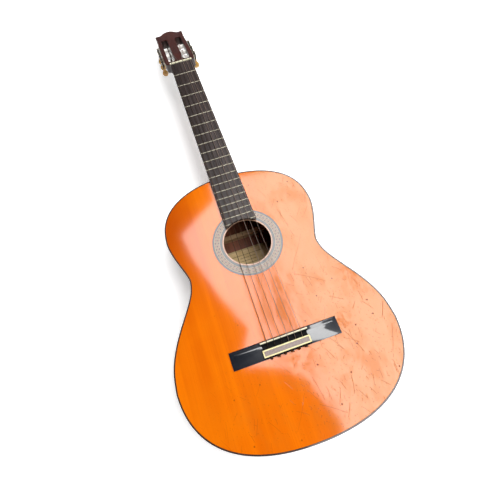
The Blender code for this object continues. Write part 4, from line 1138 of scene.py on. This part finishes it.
def make_side_plate(name, side):
    """A flat plate on the head's side, with two bearing ears for each worm shaft and brass screws."""
    inner_x = HEAD_HALF + GAP
    outer_x = inner_x + SIDE_PLATE_THICK
    rows = [n for n in NUMBERS if tuner_of(n)[0] == side]
    middle = axis_place(f"spool_{rows[0]}").z
    high, low = middle + SIDE_PLATE_HALF, middle - SIDE_PLATE_HALF
    start, end = SIDE_PLATE_SPAN
    tip = SIDE_PLATE_CORNER
    loop = [(start, low + tip), (start + tip, low), (end - tip, low), (end, low + tip)]
    loop += [(end, high - tip), (end - tip, high), (start + tip, high), (start, high - tip)]
    plate = build(name + "_formed", [drawn_out(loop, side * inner_x, side * outer_x)])
    ears = []
    holes = []
    for number in rows:
        axle = axis_place(f"spool_{number}")
        worm = axis_place(f"peg_{number}")
        for sign in (-1, 1):
            near_z = middle + sign * (WORM_HALF + GAP)
            near = (side * (outer_x - SIDE_PLATE_THICK / 2), worm.y - EAR_HALF, near_z)
            far = (side * EAR_END_X, worm.y + EAR_HALF, near_z + sign * EAR_THICK)
            ears.append(box([min(pair) for pair in zip(near, far)], [max(pair) for pair in zip(near, far)]))
        reach = Vector((0, 0, WORM_HALF + EAR_THICK + 0.0015))
        holes.append(rod(worm - reach, worm + reach, WORM_SHAFT + GAP))
        ends = [(side * x, axle.y, middle) for x in (inner_x - 0.0013, outer_x + 0.0017)]
        holes.append(rod(*ends, JOURNAL_RADIUS + 2 * GAP))
    cut(plate, ears, "UNION")
    cut(plate, holes)
    plate.data.transform(HEAD)
    dress(plate, "plated_metal", stands_for=[name], bevel=0.00015)
    for index, place in enumerate((start + SCREW_INSET, *MIDDLE_SCREWS, end - SCREW_INSET), 1):
        screw = screw_head(across_head((side * outer_x, place, middle - 0.0048)), 0.0014, side)
        dress(build(f"{name}_screw_{index}", [screw], HEAD), "plated_metal")


def screw_head(matrix, radius, side):
    """A domed head whose flat side is at the matrix's origin."""
    profile = ((0.0, 1.0), (0.0003, 1.0), (0.00055, 0.85), (0.00075, 0.5), (0.0008, 0.12))
    return turned([(side * place, radius * share) for place, share in profile], 24, matrix)


def make_roller(number):
    """A waisted barrel with a hole for its string, the gear on its end and the gear's screw."""
    side, _ = tuner_of(number)
    spool = f"spool_{number}"
    axle = axis_place(spool)
    matrix = across_head((0.0, axle.y, axle.z))
    outer = HEAD_HALF - GAP
    gear_end = abs(axis_place(f"peg_{number}").x) + 0.0018
    waist = ROLLER_RADIUS - 0.0002
    profile = [(ROLLER_INNER_X, ROLLER_RADIUS - 0.0006), (ROLLER_INNER_X + 0.0006, ROLLER_RADIUS)]
    start, end = ROLLER_WAIST_SPAN
    profile += [(start - 0.0004, ROLLER_RADIUS), (start, waist), (end, waist), (end + 0.0004, ROLLER_RADIUS)]
    profile += [(outer - 0.0004, ROLLER_RADIUS), (outer, ROLLER_RADIUS - 0.0004), (outer, JOURNAL_RADIUS)]
    profile.append((gear_end + GAP, JOURNAL_RADIUS))
    barrel = build(f"roller_{number}_barrel", [turned([(side * x, r) for x, r in profile], 40, matrix)])
    hole = Vector((side * STRING_HOLE_X, axle.y, axle.z))
    reach = Vector((0.0, 0.0, 0.01))
    cut(barrel, [rod(hole - reach, hole + reach, STRING_HOLE_RADIUS)])
    barrel.data.transform(HEAD)
    dress(barrel, "white_plastic", body=spool, stands_for=[f"roller_{number}"])
    cap = screw_head(across_head((side * (gear_end + GAP), axle.y, axle.z)), 0.0033, side * 1.35)
    dress(build(f"roller_{number}_screw", [cap], HEAD), "plated_metal", body=spool)
    soften(dress_node(f"roller_gear_{number}", "dark_metal"), 0.00012, 30)


def make_peg(number):
    """A worm shaft with its thread and collar, and the oval button on its end."""
    side, _ = tuner_of(number)
    peg = f"peg_{number}"
    ear_end = WORM_HALF + GAP + EAR_THICK
    button_top = button_top_of(number)
    root, collar = WORM_ROOT + 0.00005, WORM_SHAFT + 0.0008
    profile = [(ear_end + 0.0008, WORM_SHAFT * 0.7), (ear_end + 0.0005, WORM_SHAFT), (WORM_HALF, WORM_SHAFT)]
    profile += [(WORM_HALF, root), (-WORM_HALF, root), (-WORM_HALF, WORM_SHAFT)]
    profile += [(-ear_end - 0.0006, WORM_SHAFT), (-ear_end - 0.0006, collar)]
    profile += [(-ear_end - 0.0014, collar), (-ear_end - 0.0014, WORM_SHAFT)]
    profile.append((button_top - BUTTON_LENGTH / 2, WORM_SHAFT))
    at_worm = HEAD @ Matrix.Translation(axis_place(peg))
    shaft = build(f"worm_shaft_{number}_threaded", [turned(profile, 32, Matrix.Identity(4))], at_worm)
    cut(shaft, [worm_thread(side)], "UNION", at_worm)
    dress(shaft, "dark_metal", body=peg, stands_for=[f"worm_shaft_{number}"])

    button = build(f"button_{number}_oval", [button_shape(button_top)], at_worm)
    smooth_surface = button.modifiers.new("rounded", "SUBSURF")
    smooth_surface.levels = 3
    smooth_surface.render_levels = 3
    settle(button)
    dress(button, "amber_plastic", body=peg, stands_for=[f"button_{number}"], angle=180)


def button_top_of(number):
    """The button's upper end along its worm axis, from the axis's own origin."""
    corners = [TO_HEAD @ v.co for v in frame["nodes"][f"button_{number}"].data.vertices]
    return max(p.z for p in corners) - axis_place(f"peg_{number}").z


def worm_thread(side):
    """A helical ridge about Z with a crest facing -Y at mid length."""
    per_turn = 36
    steps = int(per_turn * WORM_TURNS)
    rings = []
    for i in range(steps + 1):
        turns = (i - steps / 2) / per_turn
        turn = tau * turns - pi / 2
        taper = min(1.0, 4 * min(i, steps - i) / per_turn)
        tip = WORM_ROOT + (WORM_TIP - WORM_ROOT) * max(taper, 0.05)
        ring = []
        foot = WORM_ROOT - 0.0002
        for offset, radius in ((-0.0010, foot), (-0.00025, tip), (0.00025, tip), (0.0010, foot)):
            z = TOOTH_PITCH * turns + offset
            ring.append((side * radius * cos(turn), radius * sin(turn), z))
        rings.append(ring)
    return loft(rings)


def button_shape(top):
    """An oval button with a collar at its top and a waist under it."""
    rings = []
    for share, width, thick in BUTTON_SECTIONS:
        wide, deep = BUTTON_HALF_WIDTH * width, BUTTON_HALF_THICK * thick
        rings.append([(x * wide, y * deep, top - BUTTON_LENGTH * share) for x, y in circle(1.0, 16)])
    return loft(rings)


# ---- camera, light and floor


def make_camera():
    data = bpy.data.cameras.new("camera")
    data.lens = CAMERA_LENS
    data.sensor_width = 36.0
    data.shift_x, data.shift_y = CAMERA_SHIFT
    data.clip_start = 0.01
    camera = bpy.data.objects.new("camera", data)
    back = CAMERA_RIGHT.cross(CAMERA_UP)
    turn = Matrix((CAMERA_RIGHT, CAMERA_UP, back)).transposed().to_4x4()
    camera.matrix_world = Matrix.Translation(CAMERA_PLACE) @ turn
    bpy.context.scene.collection.objects.link(camera)
    bpy.context.scene.camera = camera


def emission(name, radiance):
    made = bpy.data.materials.new(name)
    made.use_nodes = True
    tree = made.node_tree
    tree.nodes.clear()
    glow = tree.nodes.new("ShaderNodeEmission")
    glow.inputs["Strength"].default_value = radiance
    out = tree.nodes.new("ShaderNodeOutputMaterial")
    tree.links.new(glow.outputs[0], out.inputs[0])
    return made


def staged(name, points, material):
    """A flat piece of the set, which isn't part of the guitar."""
    mesh = bpy.data.meshes.new(name)
    mesh.from_pydata([tuple(p) for p in points], [], [list(range(len(points)))])
    mesh.materials.append(material)
    made = bpy.data.objects.new(name, mesh)
    bpy.context.scene.collection.objects.link(made)


def soft_sky():
    """A soft surround: pale low down, dark overhead and towards the head, so that gloss stays deep."""
    world = bpy.data.worlds.new("soft_studio")
    world.use_nodes = True
    nodes = Nodes(world.node_tree, "Generated")
    _, y, z = nodes.parts(nodes.place)
    low = nodes.span(z, 0.30, 0.65, 1.0, 0.01)
    behind = nodes.span(y, -0.1, 0.5, 1.0, 0.10)
    share = nodes.times(nodes.times(low, behind), SKY_RADIANCE)
    seen = world.node_tree.nodes.new("ShaderNodeLightPath").outputs["Is Camera Ray"]
    backdrop = nodes.times(seen, BACKDROP_RADIANCE)
    sky = world.node_tree.nodes["Background"]
    sky.inputs["Color"].default_value = (1.0, 1.0, 1.0, 1.0)
    nodes.feed(sky.inputs["Strength"], nodes.larger(share, backdrop))
    return world


def make_light():
    """A bright overhead panel, shaped so that its mirror image covers the treble side of the soundboard."""
    mirrored = Vector((CAMERA_PLACE.x, CAMERA_PLACE.y, 2 * TOP_Z - CAMERA_PLACE.z))
    points = []
    for x, y in PANEL_IMAGE:
        along = Vector((x, y, TOP_Z)) - mirrored
        points.append(mirrored + along * ((PANEL_HEIGHT - mirrored.z) / along.z))
    staged("light_panel", points, emission("light_panel", PANEL_RADIANCE))
    bpy.context.scene.world = soft_sky()
    bpy.context.scene.view_settings.view_transform = "Standard"


def make_floor():
    look = Look("floor", {"Base Color": (0.93, 0.93, 0.93), "Roughness": 0.8, "Specular IOR Level": 0.1})
    look.set({"Emission Color": (1.0, 1.0, 1.0), "Emission Strength": FLOOR_GLOW})
    z = CAD_BOX[0].z - FLOOR_GAP
    half = FLOOR_HALF
    staged("floor", [(-half, -half, z), (half, -half, z), (half, half, z), (-half, half, z)], look.material)


make_looks()
make_camera()
make_light()
make_floor()
make_body()
make_inside()
make_neck()
make_fingerboard()
make_nut()
make_bridge()
make_head()
make_side_plate("tuner_plate_bass", -1)
make_side_plate("tuner_plate_treble", 1)
for string_number in NUMBERS:
    make_roller(string_number)
    make_peg(string_number)
    make_string(string_number)
